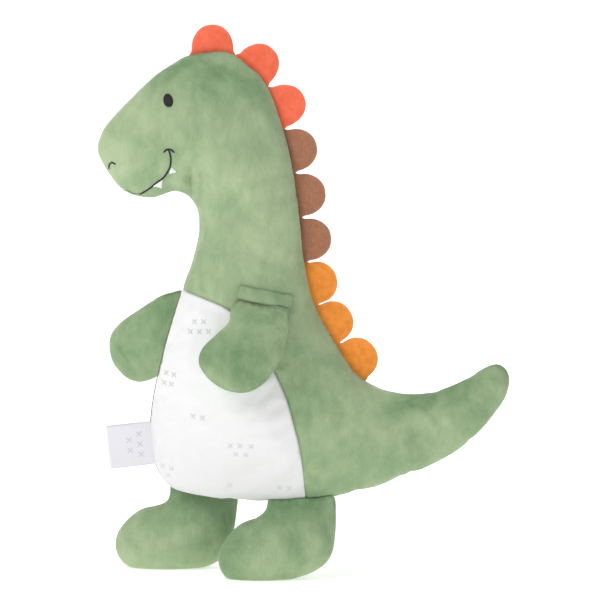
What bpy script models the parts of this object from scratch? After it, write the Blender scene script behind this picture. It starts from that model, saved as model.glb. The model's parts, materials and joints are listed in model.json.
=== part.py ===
"""A stuffed long-necked dinosaur: sewn pile-cloth panels over fibre filling.

Metres, +Z up. It faces -X, its left side is -Y, and its soles stand on Z = 0.
Every stuffed piece is a flat outline that puffs up between its seams. Outlines are in
millimetres at the nominal size and are scaled by the overall sizes.
"""
import math

import bmesh
import bpy
import numpy as np
from mathutils import Matrix, Vector
from mathutils.bvhtree import BVHTree
from mathutils.geometry import delaunay_2d_cdt
from mathutils.interpolate import poly_3d_calc

# Overall sizes
BODY_LENGTH = 0.238  # snout to tail tip
BODY_HEIGHT = 0.2586  # bottom seam to the top of the head
LEG_HEIGHT = 0.0450  # floor to the bottom seam
BODY_HALF_WIDTH = 0.034  # seam plane to the fullest part of the side

# Cloth and its clearances
CLOTH = 0.0015
SEAM_GAP = 0.0003
FILLING_GAP = 0.0004
THINNEST = 0.0006  # what the cloth leaves free where a pouch is sewn flat
EMBROIDERY = 0.0008

# Crest
SCALE_COUNT = 9
SCALE_PITCH = BODY_HEIGHT * 0.1
SCALE_HEIGHTS = (0.0175, 0.0160, 0.0148)  # one for each colour, from the head down
SCALE_HALF_THICKNESS = 0.0021
SCALE_GAP = 0.0005

# Arms
ARM_SCALE = 1.0
ARM_HALF_THICKNESS = 0.008
ARM_STAND_OFF = ARM_HALF_THICKNESS * 0.375  # body surface to the arm's hinge line
ARM_REACH = BODY_HALF_WIDTH + 0.022 * ARM_SCALE  # seam plane to each arm's outermost point
TAB_LENGTH = 0.030
TAB_WIDTH = 0.007
LEFT_ARM = (-23.75, 162.5, 13.2)  # hinge x and z in mm, and the crease's slope in degrees
RIGHT_ARM = (-60.3, 151.1, 50.0)

# Legs
LEG_SPREAD = BODY_HALF_WIDTH * 0.515  # seam plane to the middle of a leg
LEG_HALF_THICKNESS = LEG_SPREAD - 0.001
LEG_CLEARANCE = 0.0013  # sewn top edge to the body's underside
LEG_TOP_RISE = 0.0025  # the most that the top edge rises from its middle
SOLE_PRESS = 0.0036  # how far the filling lets a sole flatten
LEFT_LEG = (0.0, 0.0)  # how far ahead along X, and how many degrees it leans back
RIGHT_LEG = (-0.0630, 8.0)

# Label ribbon
LABEL_WIDTH = 0.025
LABEL_REACH = 0.026
RIBBON = 0.0004
LABEL_HALF_SLOT = 0.0003
LABEL_STAND_OFF = 0.0012

# Bends: how far each goes to either side, and the slit left at its axis
NECK_BEND = 20.0
TAIL_BEND = 25.0
BEND_MARGIN = 1.0
BEND_SLIT = 0.0006

# Mesh spacing
PANEL_STEP = 0.011
LIMB_STEP = 0.0085
TAB_STEP = 0.0038
SCALE_STEP = 0.005
SEAM_RINGS = (0.0013, 0.0052)
LIMB_RINGS = (0.0027,)
FAR = 0.4

GREEN = (0.34, 0.47, 0.28)
WHITE = (0.93, 0.93, 0.92)
CORAL = (0.95, 0.19, 0.11)
BROWN = (0.42, 0.19, 0.10)
ORANGE = (0.90, 0.32, 0.06)
THREAD = (0.01, 0.01, 0.01)
FIBRE = (0.85, 0.84, 0.80)
RIBBON_WHITE = (0.82, 0.82, 0.85)

NOMINAL_LENGTH, NOMINAL_FOOT, NOMINAL_TOP, NOMINAL_LEG = 238.0, 47.2, 303.9, 45.0

BODY_OUTLINE = [
    (-66, 301.7), (-83.8, 291.2), (-103, 273.4), (-116.4, 258.1), (-119, 247.6),
    (-112.6, 234.2), (-103, 224.1), (-88.6, 220.6), (-73.3, 224.1), (-63.7, 216.9),
    (-61.6, 204), (-65.2, 184.5), (-69.5, 168.3), (-77.4, 139.7), (-83.9, 111.5),
    (-88, 88), (-84.5, 64), (-77.4, 54.3), (-53.3, 49.5), (-22.6, 47.2), (1, 47.2),
    (18.1, 50), (44.9, 56.3), (80.3, 70.6), (95.8, 80.6), (109, 95), (116.8, 106),
    (119, 115.9), (116.8, 121.5), (112.3, 124.2), (106.9, 123.1), (84.7, 111.5),
    (60.4, 107.1), (35, 115.4), (19.5, 135.8), (6.3, 159), (0.2, 184), (-3.4, 216),
    (-9.1, 248.5), (-22.5, 285.8), (-31.1, 295.4), (-45.5, 303.9),
]
BELLY_SEAM = [
    (-69.5, 168.3), (-57, 164.5), (-43.2, 158.6), (-28, 143), (-17.3, 123.7), (-10.8, 109.6),
    (-6.6, 95.4), (-2.5, 78.4), (-0.2, 63.2), (1.2, 47.2),
]
NECK_LINE_Z = 209.7
TAIL_LINE = ((49.4, 108.8), (57.5, 61.2))
CREST_START = (-66.1, 301.7)
LABEL_SEAM = ((-88.2, 91.4), (-85.4, 66.4))
ARM_OUTLINE = [
    (-14.9, 0), (-17.4, -7.2), (-17.4, -14.3), (-22.9, -24.2), (-28.7, -35.1), (-28.1, -43.1),
    (-19.7, -51), (-7.3, -54.6), (2.5, -52.6), (10.5, -45.2), (16, -30), (17, -13.8),
    (14.9, 0), (0, 0.6),
]
RAISED_ARM_OUTLINE = [  # the right arm, which shows its narrow side
    (-14.9, 0), (-20.5, -9), (-23.4, -32), (-23.8, -48), (-21.5, -55.5), (-17, -60.5),
    (-8.4, -65.4), (1.6, -65.6), (9.3, -61.8), (12.6, -55.8), (15, -44), (15.6, -22),
    (14.9, 0), (0, 0.6),
]
LEG_OUTLINE = [
    (-23.7, 39.7), (-28.4, 35.5), (-37.7, 32.1), (-47.8, 22), (-50, 14.3), (-47.5, 4.5),
    (-41.9, 0.2), (-33.4, -0.2), (-20.7, 0.4), (-8, 1.8), (4.7, 5), (12.3, 9.5), (16.3, 17.2),
    (17.5, 27.8), (17.6, 37.2),
]
LEG_TOP = (17.2, 7, -3, -13, -20.5)  # where the sewn top edge meets the body, along X
SOLE_MIDDLE_X = -17.0
EYE_PLACE, EYE_SIZE, EYE_TURN = (-78.7, 278.8), (5.5, 7.2), 12.0
MOUTH_LINE = [
    (-78.1, 250.3), (-77.5, 243.7), (-79.8, 237.3), (-85.3, 232), (-91.9, 227.2), (-97, 225.2),
]
NOSTRIL_LINE = [(-112.7, 238.9), (-111, 241.8), (-109.2, 241)]
MOUTH_WIDTH, NOSTRIL_WIDTH = 1.4, 1.2
FRONT_TOOTH = [(-86.6, 229.8), (-81.4, 233.4), (-83.4, 228.7)]
BACK_TOOTH = [(-78.3, 237.2), (-76.2, 241.2), (-74.3, 237.4)]
TOOTH_SETBACK = 0.0009  # clear of the mouth's stitches


def body_point(x, z):
    """A point of the side view at the overall sizes."""
    across = BODY_LENGTH / NOMINAL_LENGTH
    up = BODY_HEIGHT / (NOMINAL_TOP - NOMINAL_FOOT)
    return (x * across, LEG_HEIGHT + (z - NOMINAL_FOOT) * up)


def body_points(points):
    return [body_point(x, z) for x, z in points]


def spline(points, step, closed=True):
    """A smooth curve through the points, as points about one step apart."""
    p = np.array(points, float)
    count = len(p) if closed else len(p) - 1
    if not closed:
        p = np.vstack([2 * p[0] - p[1], p, 2 * p[-1] - p[-2]])
    fine = []
    for i in range(count):
        if closed:
            a, b, c, d = (p[(i + k) % len(p)] for k in (-1, 0, 1, 2))
        else:
            a, b, c, d = p[i : i + 4]
        k = np.cumsum([0] + [np.linalg.norm(q - r) ** 0.5 for q, r in ((b, a), (c, b), (d, c))])
        for t in np.linspace(k[1], k[2], 12, endpoint=False):
            ab = a + (b - a) * (t - k[0]) / (k[1] - k[0])
            bc = b + (c - b) * (t - k[1]) / (k[2] - k[1])
            cd = c + (d - c) * (t - k[2]) / (k[3] - k[2])
            first = ab + (bc - ab) * (t - k[0]) / (k[2] - k[0])
            last = bc + (cd - bc) * (t - k[1]) / (k[3] - k[1])
            fine.append(first + (last - first) * (t - k[1]) / (k[2] - k[1]))
    fine.append(fine[0] if closed else p[-2])
    return resample(np.array(fine), step, closed)


def resample(line, step, closed):
    along = np.concatenate([[0], np.cumsum(np.linalg.norm(np.diff(line, axis=0), axis=1))])
    count = max(3, round(along[-1] / step))
    at = np.linspace(0, along[-1], count + 1)
    at = at[:-1] if closed else at
    return np.stack([np.interp(at, along, line[:, k]) for k in range(2)], axis=1)


def to_loop(points, loop):
    """How far each point is from a closed loop."""
    a = loop
    b = np.roll(loop, -1, axis=0)
    d = b - a
    away = points[:, None] - a
    t = np.clip((away * d).sum(2) / (d * d).sum(1), 0, 1)
    return np.linalg.norm(away - t[..., None] * d, axis=2).min(1)


def inside(points, loop):
    x, z = points[:, 0][:, None], points[:, 1][:, None]
    a, b = loop, np.roll(loop, -1, axis=0)
    crosses = (a[:, 1] > z) != (b[:, 1] > z)
    rise = np.where(b[:, 1] == a[:, 1], 1, b[:, 1] - a[:, 1])
    return (crosses & (x < (b[:, 0] - a[:, 0]) * (z - a[:, 1]) / rise + a[:, 0])).sum(1) % 2 == 1


def ring(loop, depth):
    """The loop moved inwards, where it stays clear of itself."""
    turn = np.roll(loop, -1, axis=0) - np.roll(loop, 1, axis=0)
    turn /= np.linalg.norm(turn, axis=1)[:, None]
    inwards = np.stack([-turn[:, 1], turn[:, 0]], axis=1)
    if not inside(loop[:1] + inwards[:1] * depth * 0.1, loop)[0]:
        inwards = -inwards
    moved = loop + inwards * depth
    return moved[inside(moved, loop) & (to_loop(moved, loop) > 0.9 * depth)]


def triangulate(loop, step, rings=()):
    """The points and triangles of a region: its loop, rings along the seam and a lattice."""
    low, high = loop.min(0), loop.max(0)
    rows = np.arange(low[1], high[1], step * 0.866)
    lattice = np.array([
        (x + (step / 2 if i % 2 else 0), z)
        for i, z in enumerate(rows)
        for x in np.arange(low[0], high[0], step)
    ])
    lattice = lattice[inside(lattice, loop)]
    clear = 0.55 * step + (rings[-1] if rings else 0)
    lattice = lattice[to_loop(lattice, loop) > clear] if len(lattice) else lattice.reshape(0, 2)
    points = np.vstack([loop] + [ring(loop, depth) for depth in rings] + [lattice])
    rim = [(i, (i + 1) % len(loop)) for i in range(len(loop))]
    found = delaunay_2d_cdt([Vector(p) for p in points], rim, [], 1, 1e-7)
    return np.array([tuple(p) for p in found[0]]), np.array(found[2]), len(loop)


class Puffed:
    """A flat outline that puffs up between its seams, as a stuffed pouch does.

    w solves a membrane under even pressure; the half thickness grows as its square root,
    so that the two sides meet round at the seam.
    """

    def __init__(self, loop, half, fine, taper=None):
        points, faces, rim = triangulate(loop, fine)
        corner = points[faces]
        edge = np.roll(corner, -1, axis=1) - np.roll(corner, 1, axis=1)
        twice = edge[:, 0, 0] * edge[:, 1, 1] - edge[:, 0, 1] * edge[:, 1, 0]
        area = np.abs(twice) / 2
        stiff = np.zeros((len(points), len(points)))
        load = np.zeros(len(points))
        for i in range(3):
            np.add.at(load, faces[:, i], area / 3)
            for j in range(3):
                share = (edge[:, i] * edge[:, j]).sum(1) / (4 * area)
                np.add.at(stiff, (faces[:, i], faces[:, j]), share)
        w = np.zeros(len(points))
        free = np.arange(rim, len(points))
        w[free] = np.linalg.solve(stiff[np.ix_(free, free)], load[free])
        w *= half**2 / w.max()
        if taper:
            w *= np.array([taper(x, z) for x, z in points]) ** 2
        slope = np.zeros((len(points), 2))
        weight = np.zeros(len(points))
        turned = np.stack([edge[..., 1], -edge[..., 0]], axis=2) / twice[:, None, None]
        rise = (w[faces][..., None] * turned).sum(1)
        for i in range(3):
            np.add.at(slope, faces[:, i], rise * area[:, None])
            np.add.at(weight, faces[:, i], area)
        self.w, self.slope = w, slope / weight[:, None]
        self.corners = [Vector((x, z, 0)) for x, z in points]
        self.faces = [tuple(int(i) for i in f) for f in faces]
        self.tree = BVHTree.FromPolygons(self.corners, self.faces)

    def at(self, x, z):
        """Half thickness and outward direction at a point of the outline's plane."""
        place, _, face, _ = self.tree.find_nearest(Vector((x, z, 0)))
        share = poly_3d_calc([self.corners[i] for i in self.faces[face]], place)
        w = sum(s * self.w[i] for s, i in zip(share, self.faces[face]))
        slope = sum(s * self.slope[i] for s, i in zip(share, self.faces[face]))
        y = math.sqrt(max(w, 0))
        return y, Vector((-slope[0] / 2, y, -slope[1] / 2)).normalized()


def lift(pouch, x, z, side, offset, apart):
    """A point of the pouch's surface on one side, moved along the surface's normal.

    Going inwards it stops short of the seam plane, where the pouch is thinner than its cloth.
    """
    y, out = pouch.at(x, z)
    if offset < 0 and out.y > 0.05:
        offset = max(offset, offset / (THINNEST - offset) * y / out.y)
    return Vector((x + out.x * offset, side * (apart + y + out.y * offset), z + out.z * offset))


def new_object(name, points, faces, material, joint=None):
    """A mesh from points in world space, under the joint that moves it."""
    mesh = bpy.data.meshes.new(name)
    mesh.from_pydata([tuple(p) for p in points], [], [tuple(map(int, f)) for f in faces])
    shape = bmesh.new()
    shape.from_mesh(mesh)
    bmesh.ops.recalc_face_normals(shape, faces=shape.faces)
    if shape.calc_volume(signed=True) < 0:
        bmesh.ops.reverse_faces(shape, faces=shape.faces)
    shape.to_mesh(mesh)
    shape.free()
    mesh.shade_smooth()
    mesh.set_sharp_from_angle(angle=math.radians(50))
    mesh.materials.append(material)
    obj = bpy.data.objects.new(name, mesh)
    bpy.context.scene.collection.objects.link(obj)
    if joint:
        mesh.transform(joint.matrix_world.inverted())
        obj.parent = joint
    return obj


def joint_at(name, place, turn=None):
    empty = bpy.data.objects.new(name, None)
    empty.empty_display_size = 0.01
    empty.matrix_world = Matrix.Translation(place) @ (turn or Matrix.Identity(4))
    bpy.context.scene.collection.objects.link(empty)
    bpy.context.view_layer.update()
    return empty


def panel_mesh(flat, outer, inner):
    """A closed sheet between two placings of the same flat mesh."""
    points, faces, rim = flat
    count = len(points)
    placed = [outer(x, z) for x, z in points] + [inner(x, z) for x, z in points]
    walls = [(i, (i + 1) % rim, count + (i + 1) % rim, count + i) for i in range(rim)]
    return placed, [tuple(f) for f in faces] + [tuple(f[::-1] + count) for f in faces] + walls


def core_mesh(flat, left, right):
    """A closed cushion whose two sides share the points of the rim."""
    points, faces, rim = flat
    count = len(points)
    placed = [left(x, z) for x, z in points] + [right(x, z) for x, z in points[rim:]]
    other = [tuple(i if i < rim else i + count - rim for i in f[::-1]) for f in faces]
    return placed, [tuple(f) for f in faces] + other


def pressed(place, press, depth):
    """The placing let down by the press, with nothing nearer to the floor than the depth."""
    def on_floor(x, z):
        p = place(x, z)
        p.z = max(p.z - press * press_share(p.z), depth)
        return p
    return on_floor if press else place


def press_share(z):
    """The whole press below half the leg, easing to none at its top."""
    return min(1, max(0, 2 - 2 * z / LEG_HEIGHT))


def skin(name, pouch, flat, side, material, joint=None, move=None, press=0):
    """One cloth panel of a pouch."""
    move = move or Matrix.Identity(4)
    def layer(depth):
        def place(x, z):
            return move @ lift(pouch, x, z, side, -depth, SEAM_GAP / 2)
        return pressed(place, press, depth)
    return new_object(name, *panel_mesh(flat, layer(0), layer(CLOTH)), material, joint)


def filling(name, pouch, flat, material, joint=None, move=None, press=0):
    """The fibre core inside a pouch's two panels."""
    move = move or Matrix.Identity(4)
    depth = CLOTH + FILLING_GAP
    def layer(side):
        def place(x, z):
            return move @ lift(pouch, x, z, side, -depth, 0)
        return pressed(place, press, depth)
    return new_object(name, *core_mesh(flat, layer(-1), layer(1)), material, joint)


def patch(name, pouch, flat, side, thickness, material, joint, apart=0.0):
    """A closed patch that lies on the outside of a pouch."""
    near = FILLING_GAP + apart
    def layer(height):
        return lambda x, z: lift(pouch, x, z, side, height, SEAM_GAP / 2)
    return new_object(name, *panel_mesh(flat, layer(near + thickness), layer(near)), material, joint)


def prism(name, outline, axis, reach=FAR):
    """A hidden cutter: an outline in XZ swept along Y, or in YZ swept along X."""
    place = (lambda a, b, t: (a, t, b)) if axis == "Y" else (lambda a, b, t: (t, a, b))
    count = len(outline)
    points = [place(a, b, t) for t in (-reach, reach) for a, b in outline]
    walls = [(i, (i + 1) % count, count + (i + 1) % count, count + i) for i in range(count)]
    caps = [tuple(range(count)), tuple(range(2 * count - 1, count - 1, -1))]
    obj = new_object(name, points, walls + caps, plain("cutter", WHITE, 1))
    obj.hide_render = True
    obj.display_type = "WIRE"
    return obj


def cut(obj, cutter, operation):
    boolean = obj.modifiers.new(cutter.name, "BOOLEAN")
    boolean.operation = operation
    boolean.object = cutter


def plain(name, colour, roughness):
    material = bpy.data.materials.get(name)
    if material:
        return material
    material = bpy.data.materials.new(name)
    material.use_nodes = True
    shader = material.node_tree.nodes["Principled BSDF"]
    shader.inputs["Base Color"].default_value = (*colour, 1)
    shader.inputs["Roughness"].default_value = roughness
    shader.inputs["Metallic"].default_value = 0
    return material


def bend_cutter(name, place, turn, angle, way):
    """Everything past a bend, behind a face that opens by half the bend to either side.

    way is 1 for the piece past the bend, and -1 for what the piece before it leaves free.
    """
    slope = way * math.tan(math.radians(angle / 2 + BEND_MARGIN))
    slit = way * BEND_SLIT / 2
    face = [(-FAR, slit + FAR * slope), (0, slit), (FAR, slit + FAR * slope)]
    obj = prism(name, face + [(FAR, 2 * FAR), (-FAR, 2 * FAR)], "X")
    obj.matrix_world = Matrix.Translation(place) @ turn
    return obj


def shifted(line, distance):
    """A line moved sideways to its left."""
    turn = np.gradient(line, axis=0)
    turn /= np.linalg.norm(turn, axis=1)[:, None]
    return line + np.stack([-turn[:, 1], turn[:, 0]], axis=1) * distance


def belly_cutter(name, seam, distance):
    """Everything in front of and below the belly seam, moved back by a distance."""
    line = shifted(seam, distance)
    start, end = line[0], line[-1]
    outline = [(-FAR, start[1]), *map(tuple, line), (end[0], -FAR), (-FAR, -FAR)]
    return prism(name, outline, "Y")


def build_body():
    """The trunk, head and tail: panels cut from one pouch, and their fillings."""
    outline = spline(body_points(BODY_OUTLINE), PANEL_STEP * 0.8)
    pouch = Puffed(spline(body_points(BODY_OUTLINE), 0.005), BODY_HALF_WIDTH, 0.0045)
    flat = triangulate(outline, PANEL_STEP, SEAM_RINGS)
    neck_x, neck_z = body_point(-32, NECK_LINE_Z)
    top, bottom = (Vector((x, 0, z)) for x, z in body_points(TAIL_LINE))
    tail_middle = (top + bottom) / 2
    along = (top - bottom).normalized()
    lean = math.atan2(along.x, along.z)
    neck = joint_at("neck_bend", (neck_x, 0, neck_z))
    tail = joint_at("tail_bend", tail_middle, Matrix.Rotation(lean, 4, "Y"))
    back = Matrix.Rotation(lean + math.pi / 2, 4, "Y")
    level = Matrix.Identity(4)
    seam = spline(body_points(BELLY_SEAM), 0.006, closed=False)
    cutters = {
        "head": bend_cutter("past_neck", neck.location, level, NECK_BEND, 1),
        "not_head": bend_cutter("neck_and_up", neck.location, level, NECK_BEND, -1),
        "tail": bend_cutter("past_tail_root", tail_middle, back, TAIL_BEND, 1),
        "not_tail": bend_cutter("tail_and_back", tail_middle, back, TAIL_BEND, -1),
        "belly": belly_cutter("belly_zone", seam, -SEAM_GAP / 2),
        "not_belly": belly_cutter("belly_zone_and_seam", seam, SEAM_GAP / 2),
    }
    green, white = plain("green_pile", GREEN, 0.9), plain("white_pile", WHITE, 0.9)
    fibre = plain("fibre", FIBRE, 1)
    for side, word in ((-1, "left"), (1, "right")):
        head_panel = skin(f"head_panel_{word}", pouch, flat, side, green, neck)
        cut(head_panel, cutters["head"], "INTERSECT")
        tail_panel = skin(f"tail_panel_{word}", pouch, flat, side, green, tail)
        cut(tail_panel, cutters["tail"], "INTERSECT")
        torso_panel = skin(f"side_panel_{word}", pouch, flat, side, green)
        for past in ("not_head", "not_tail", "not_belly"):
            cut(torso_panel, cutters[past], "DIFFERENCE")
        cut(skin(f"belly_panel_{word}", pouch, flat, side, white), cutters["belly"], "INTERSECT")
    cut(filling("head_filling", pouch, flat, fibre, neck), cutters["head"], "INTERSECT")
    cut(filling("tail_filling", pouch, flat, fibre, tail), cutters["tail"], "INTERSECT")
    trunk = filling("trunk_filling", pouch, flat, fibre)
    cut(trunk, cutters["not_head"], "DIFFERENCE")
    cut(trunk, cutters["not_tail"], "DIFFERENCE")
    return pouch, neck


def walk(loop, start, pitch, count):
    """Places along a closed loop whose neighbours are one pitch apart, clockwise from the start."""
    at = int(np.argmin(np.linalg.norm(loop - start, axis=1)))
    order = np.roll(loop, -at, axis=0)
    if order[len(order) // 40][0] < order[0][0]:
        order = np.vstack([order[:1], order[1:][::-1]])
    found = [0]
    for _ in range(count):
        away = np.linalg.norm(order[found[-1] :] - order[found[-1]], axis=1)
        found.append(found[-1] + int(np.argmax(away >= pitch)))
    return order, found


def build_crest(neck):
    """Half-round padded scales along the back seam."""
    loop = spline(body_points(BODY_OUTLINE), 0.0004)
    order, ends = walk(loop, np.array(body_point(*CREST_START)), SCALE_PITCH, SCALE_COUNT)
    colours = (("coral", CORAL), ("brown", BROWN), ("orange", ORANGE))
    for i in range(SCALE_COUNT):
        word, colour = colours[i * 3 // SCALE_COUNT]
        height = SCALE_HEIGHTS[i * 3 // SCALE_COUNT]
        base = order[ends[i] : ends[i + 1] + 1]
        chord = base[-1] - base[0]
        width = np.linalg.norm(chord)
        chord /= width
        outwards = np.array([-chord[1], chord[0]])
        trim = SCALE_GAP / 2
        base = resample(base, SCALE_STEP, closed=False) + outwards * (SEAM_GAP + FILLING_GAP)
        base[0] += chord * trim
        base[-1] -= chord * trim
        middle = (base[0] + base[-1]) / 2
        turns = np.linspace(0, math.pi, 11)[1:-1]
        across = chord * (width / 2 - trim)
        arc = [middle + across * math.cos(t) + outwards * math.sin(t) * height for t in turns]
        outline = np.vstack([base, arc])
        pouch = Puffed(outline, SCALE_HALF_THICKNESS, SCALE_STEP / 2)
        flat = triangulate(outline, SCALE_STEP, (0.0008,))
        def side(way):
            return lambda x, z: lift(pouch, x, z, way, 0, 0)
        above = outline[:, 1].mean() > neck.location.z
        shape = core_mesh(flat, side(-1), side(1))
        new_object(f"{word}_scale_{i % 3 + 1}", *shape, plain(word, colour, 0.9), neck if above else None)


def build_face(pouch, neck):
    """Eyes, mouth, teeth and nostrils, embroidered on both sides of the head."""
    black, white = plain("black_thread", THREAD, 0.5), plain("white_thread", WHITE, 0.6)
    turn = math.radians(EYE_TURN)
    eye = []
    for t in np.linspace(0, 2 * math.pi, 18, endpoint=False):
        x, z = EYE_SIZE[0] / 2 * math.cos(t), EYE_SIZE[1] / 2 * math.sin(t)
        eye.append(body_point(EYE_PLACE[0] + x * math.cos(turn) - z * math.sin(turn),
                              EYE_PLACE[1] + x * math.sin(turn) + z * math.cos(turn)))
    lines = (("mouth", MOUTH_LINE, MOUTH_WIDTH), ("nostril", NOSTRIL_LINE, NOSTRIL_WIDTH))
    teeth = (("front_tooth", FRONT_TOOTH), ("back_tooth", BACK_TOOTH))
    for side, word in ((-1, "left"), (1, "right")):
        patch(f"eye_{word}", pouch, triangulate(np.array(eye), 0.002), side, EMBROIDERY, black, neck)
        for name, line, width in lines:
            middle = spline(body_points(line), 0.0022, closed=False)
            half = width / 2000
            strip = np.vstack([shifted(middle, half), shifted(middle, -half)[::-1]])
            patch(f"{name}_{word}", pouch, triangulate(strip, 0.003), side, EMBROIDERY, black, neck)
        for name, corners in teeth:
            middle = np.mean(body_points(corners), axis=0)
            outline = resample(np.array(body_points(corners + corners[:1])), 0.0018, closed=True)
            away = np.linalg.norm(outline - middle, axis=1)[:, None]
            outline = middle + (outline - middle) * (1 - TOOTH_SETBACK / 3 / away)
            patch(f"{name}_{word}", pouch, triangulate(outline, 0.003), side, EMBROIDERY, white, neck)


def fade(reach):
    """Fullness that grows from the sewn top edge down."""
    def taper(_, z):
        t = min(1, max(0, -z / reach))
        return 0.12 + 0.88 * t * (2 - t)
    return taper


def hanging_tilt(pouch, flat, hinge, turn, side):
    """How far out an arm leans so that it reaches ARM_REACH."""
    low, high = 0, math.radians(80)
    for _ in range(24):
        tilt = (low + high) / 2
        move = Matrix.Translation(hinge) @ turn @ Matrix.Rotation(side * tilt, 4, "X")
        spots = [move @ lift(pouch, x, z, side, 0, SEAM_GAP / 2) for x, z in flat[0]]
        if max(abs(p.y) for p in spots) > ARM_REACH:
            high = tilt
        else:
            low = tilt
    return low


def build_arm(body, word, side, place, shape):
    """A padded arm that hangs from a flat sewn tab."""
    x, z, crease = place
    x, z = body_point(x, z)
    turn = Matrix.Rotation(math.radians(crease), 4, "Y")
    reach = [turn @ Vector((d * TAB_LENGTH / 2, 0, 0)) for d in (-1, -0.5, 0, 0.5, 1)]
    out = max(body.at(x + r.x, z + r.z)[0] for r in reach)
    hinge = Vector((x, side * (out + ARM_STAND_OFF), z))
    points = [(u * ARM_SCALE / 1000, v * ARM_SCALE / 1000) for u, v in shape]
    outline = spline(points, LIMB_STEP * 0.75)
    pouch = Puffed(spline(points, 0.003), ARM_HALF_THICKNESS, 0.0028, fade(0.022 * ARM_SCALE))
    flat = triangulate(outline, LIMB_STEP, LIMB_RINGS)
    tilt = hanging_tilt(pouch, flat, hinge, turn, side)
    joint = joint_at(f"{word}_arm_lift", hinge, turn @ Matrix.Rotation(side * tilt, 4, "X"))
    green, fibre = plain("green_pile", GREEN, 0.9), plain("fibre", FIBRE, 1)
    move = joint.matrix_world.copy()
    skin(f"{word}_arm_outer", pouch, flat, side, green, joint, move)
    skin(f"{word}_arm_inner", pouch, flat, -side, green, joint, move)
    filling(f"{word}_arm_filling", pouch, flat, fibre, joint, move)
    rise = 0.0012
    tab = []
    for u, v in ((-0.5, 0), (0.5, 0), (0.5, 1), (-0.5, 1)):
        r = turn @ Vector((u * TAB_LENGTH, 0, rise + v * TAB_WIDTH))
        tab.append((x + r.x, z + r.z))
    tab = resample(np.array(tab + tab[:1]), TAB_STEP, closed=True)
    patch(f"{word}_arm_tab", body, triangulate(tab, TAB_STEP), side, CLOTH, green, None)


def underside(body, x, y):
    """The height at which the body's lower side is that far from the seam plane."""
    low, high = LEG_HEIGHT - 0.001, LEG_HEIGHT + BODY_HALF_WIDTH
    for _ in range(20):
        z = (low + high) / 2
        if body.at(x, z)[0] > y:
            high = z
        else:
            low = z
    return low


def rise_into_body(body, pouch, spots, middle, top):
    """How far the inner face of a leg would reach into the body's underside."""
    most = 0
    for x, z in spots:
        if z > -LEG_HEIGHT / 3:
            near = max(0, LEG_SPREAD - pouch.at(x, z)[0])
            room = underside(body, middle + x, near) - LEG_CLEARANCE / 2
            most = max(most, top + z - room)
    return most


def build_leg(body, word, side, place):
    """A stuffed leg sewn under the body, with its sole pressed flat."""
    ahead, lean = place
    turn = Matrix.Rotation(math.radians(lean), 3, "Y")
    sole = Vector((body_point(SOLE_MIDDLE_X, 0)[0], 0, 0))
    def turned(x, z):
        p = Vector((body_point(x, 0)[0], 0, z * LEG_HEIGHT / NOMINAL_LEG))
        p = turn @ (p - sole) + sole
        return ahead + p.x, p.z
    sewn = []
    for x in LEG_TOP:
        across = turned(x, NOMINAL_LEG)[0]
        sewn.append((across, underside(body, across, LEG_SPREAD) - LEG_CLEARANCE))
    points = [turned(x, z) for x, z in LEG_OUTLINE]
    for _ in range(5):
        middle, top = sewn[len(sewn) // 2]
        whole = points + [(x, min(z, top + LEG_TOP_RISE)) for x, z in sewn]
        whole = [(x - middle, z - top) for x, z in whole]
        outline = spline(whole, LIMB_STEP * 0.8)
        pouch = Puffed(spline(whole, 0.003), LEG_HALF_THICKNESS, 0.0028, fade(0.024))
        flat = triangulate(outline, LIMB_STEP, LIMB_RINGS)
        excess = rise_into_body(body, pouch, flat[0], middle, top)
        if excess <= 0:
            break
        sewn = [(x, z - excess) for x, z in sewn]
    hinge = Vector((middle, side * LEG_SPREAD, top))
    joint = joint_at(f"{word}_leg_splay", hinge)
    green, fibre = plain("green_pile", GREEN, 0.9), plain("fibre", FIBRE, 1)
    move = Matrix.Translation(hinge)
    for face, name in ((side, "outer"), (-side, "inner")):
        skin(f"{word}_leg_{name}", pouch, flat, face, green, joint, move, SOLE_PRESS)
    filling(f"{word}_leg_filling", pouch, flat, fibre, joint, move, SOLE_PRESS)


def build_label(body):
    """A ribbon folded double, its ends in the front seam."""
    top, bottom = (Vector((x, 0, z)) for x, z in body_points(LABEL_SEAM))
    along = (top - bottom).normalized()
    lean = math.atan2(along.x, along.z)
    forward = Vector((-along.z, 0, along.x))
    hinge = (top + bottom) / 2 + forward * LABEL_STAND_OFF
    joint = joint_at("label_fold", hinge, Matrix.Rotation(lean, 4, "Y"))
    half = LABEL_HALF_SLOT + RIBBON
    fold = [(math.sin(t), math.cos(t)) for t in np.linspace(0, math.pi, 7)]
    length = LABEL_REACH - half
    outline = [(0, half)] + [(-length - s * half, c * half) for s, c in fold] + [(0, -half)]
    slot = [(0, -LABEL_HALF_SLOT)] + [(-length - s * LABEL_HALF_SLOT, -c * LABEL_HALF_SLOT) for s, c in fold]
    outline += slot + [(0, LABEL_HALF_SLOT)]
    count = len(outline)
    ends = (-LABEL_WIDTH / 2, LABEL_WIDTH / 2)
    points = [joint.matrix_world @ Vector((x, y, z)) for z in ends for x, y in outline]
    walls = [(i, (i + 1) % count, count + (i + 1) % count, count + i) for i in range(count)]
    caps = [tuple(range(count)), tuple(range(2 * count - 1, count - 1, -1))]
    new_object("label", points, walls + caps, plain("ribbon", RIBBON_WHITE, 0.4), joint)


def main():
    for obj in list(bpy.data.objects):
        bpy.data.objects.remove(obj)
    body, neck = build_body()
    build_crest(neck)
    build_face(body, neck)
    build_arm(body, "left", -1, LEFT_ARM, ARM_OUTLINE)
    build_arm(body, "right", 1, RIGHT_ARM, RAISED_ARM_OUTLINE)
    build_leg(body, "left", -1, LEFT_LEG)
    build_leg(body, "right", 1, RIGHT_LEG)
    build_label(body)
    bpy.context.view_layer.update()


main()
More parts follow.
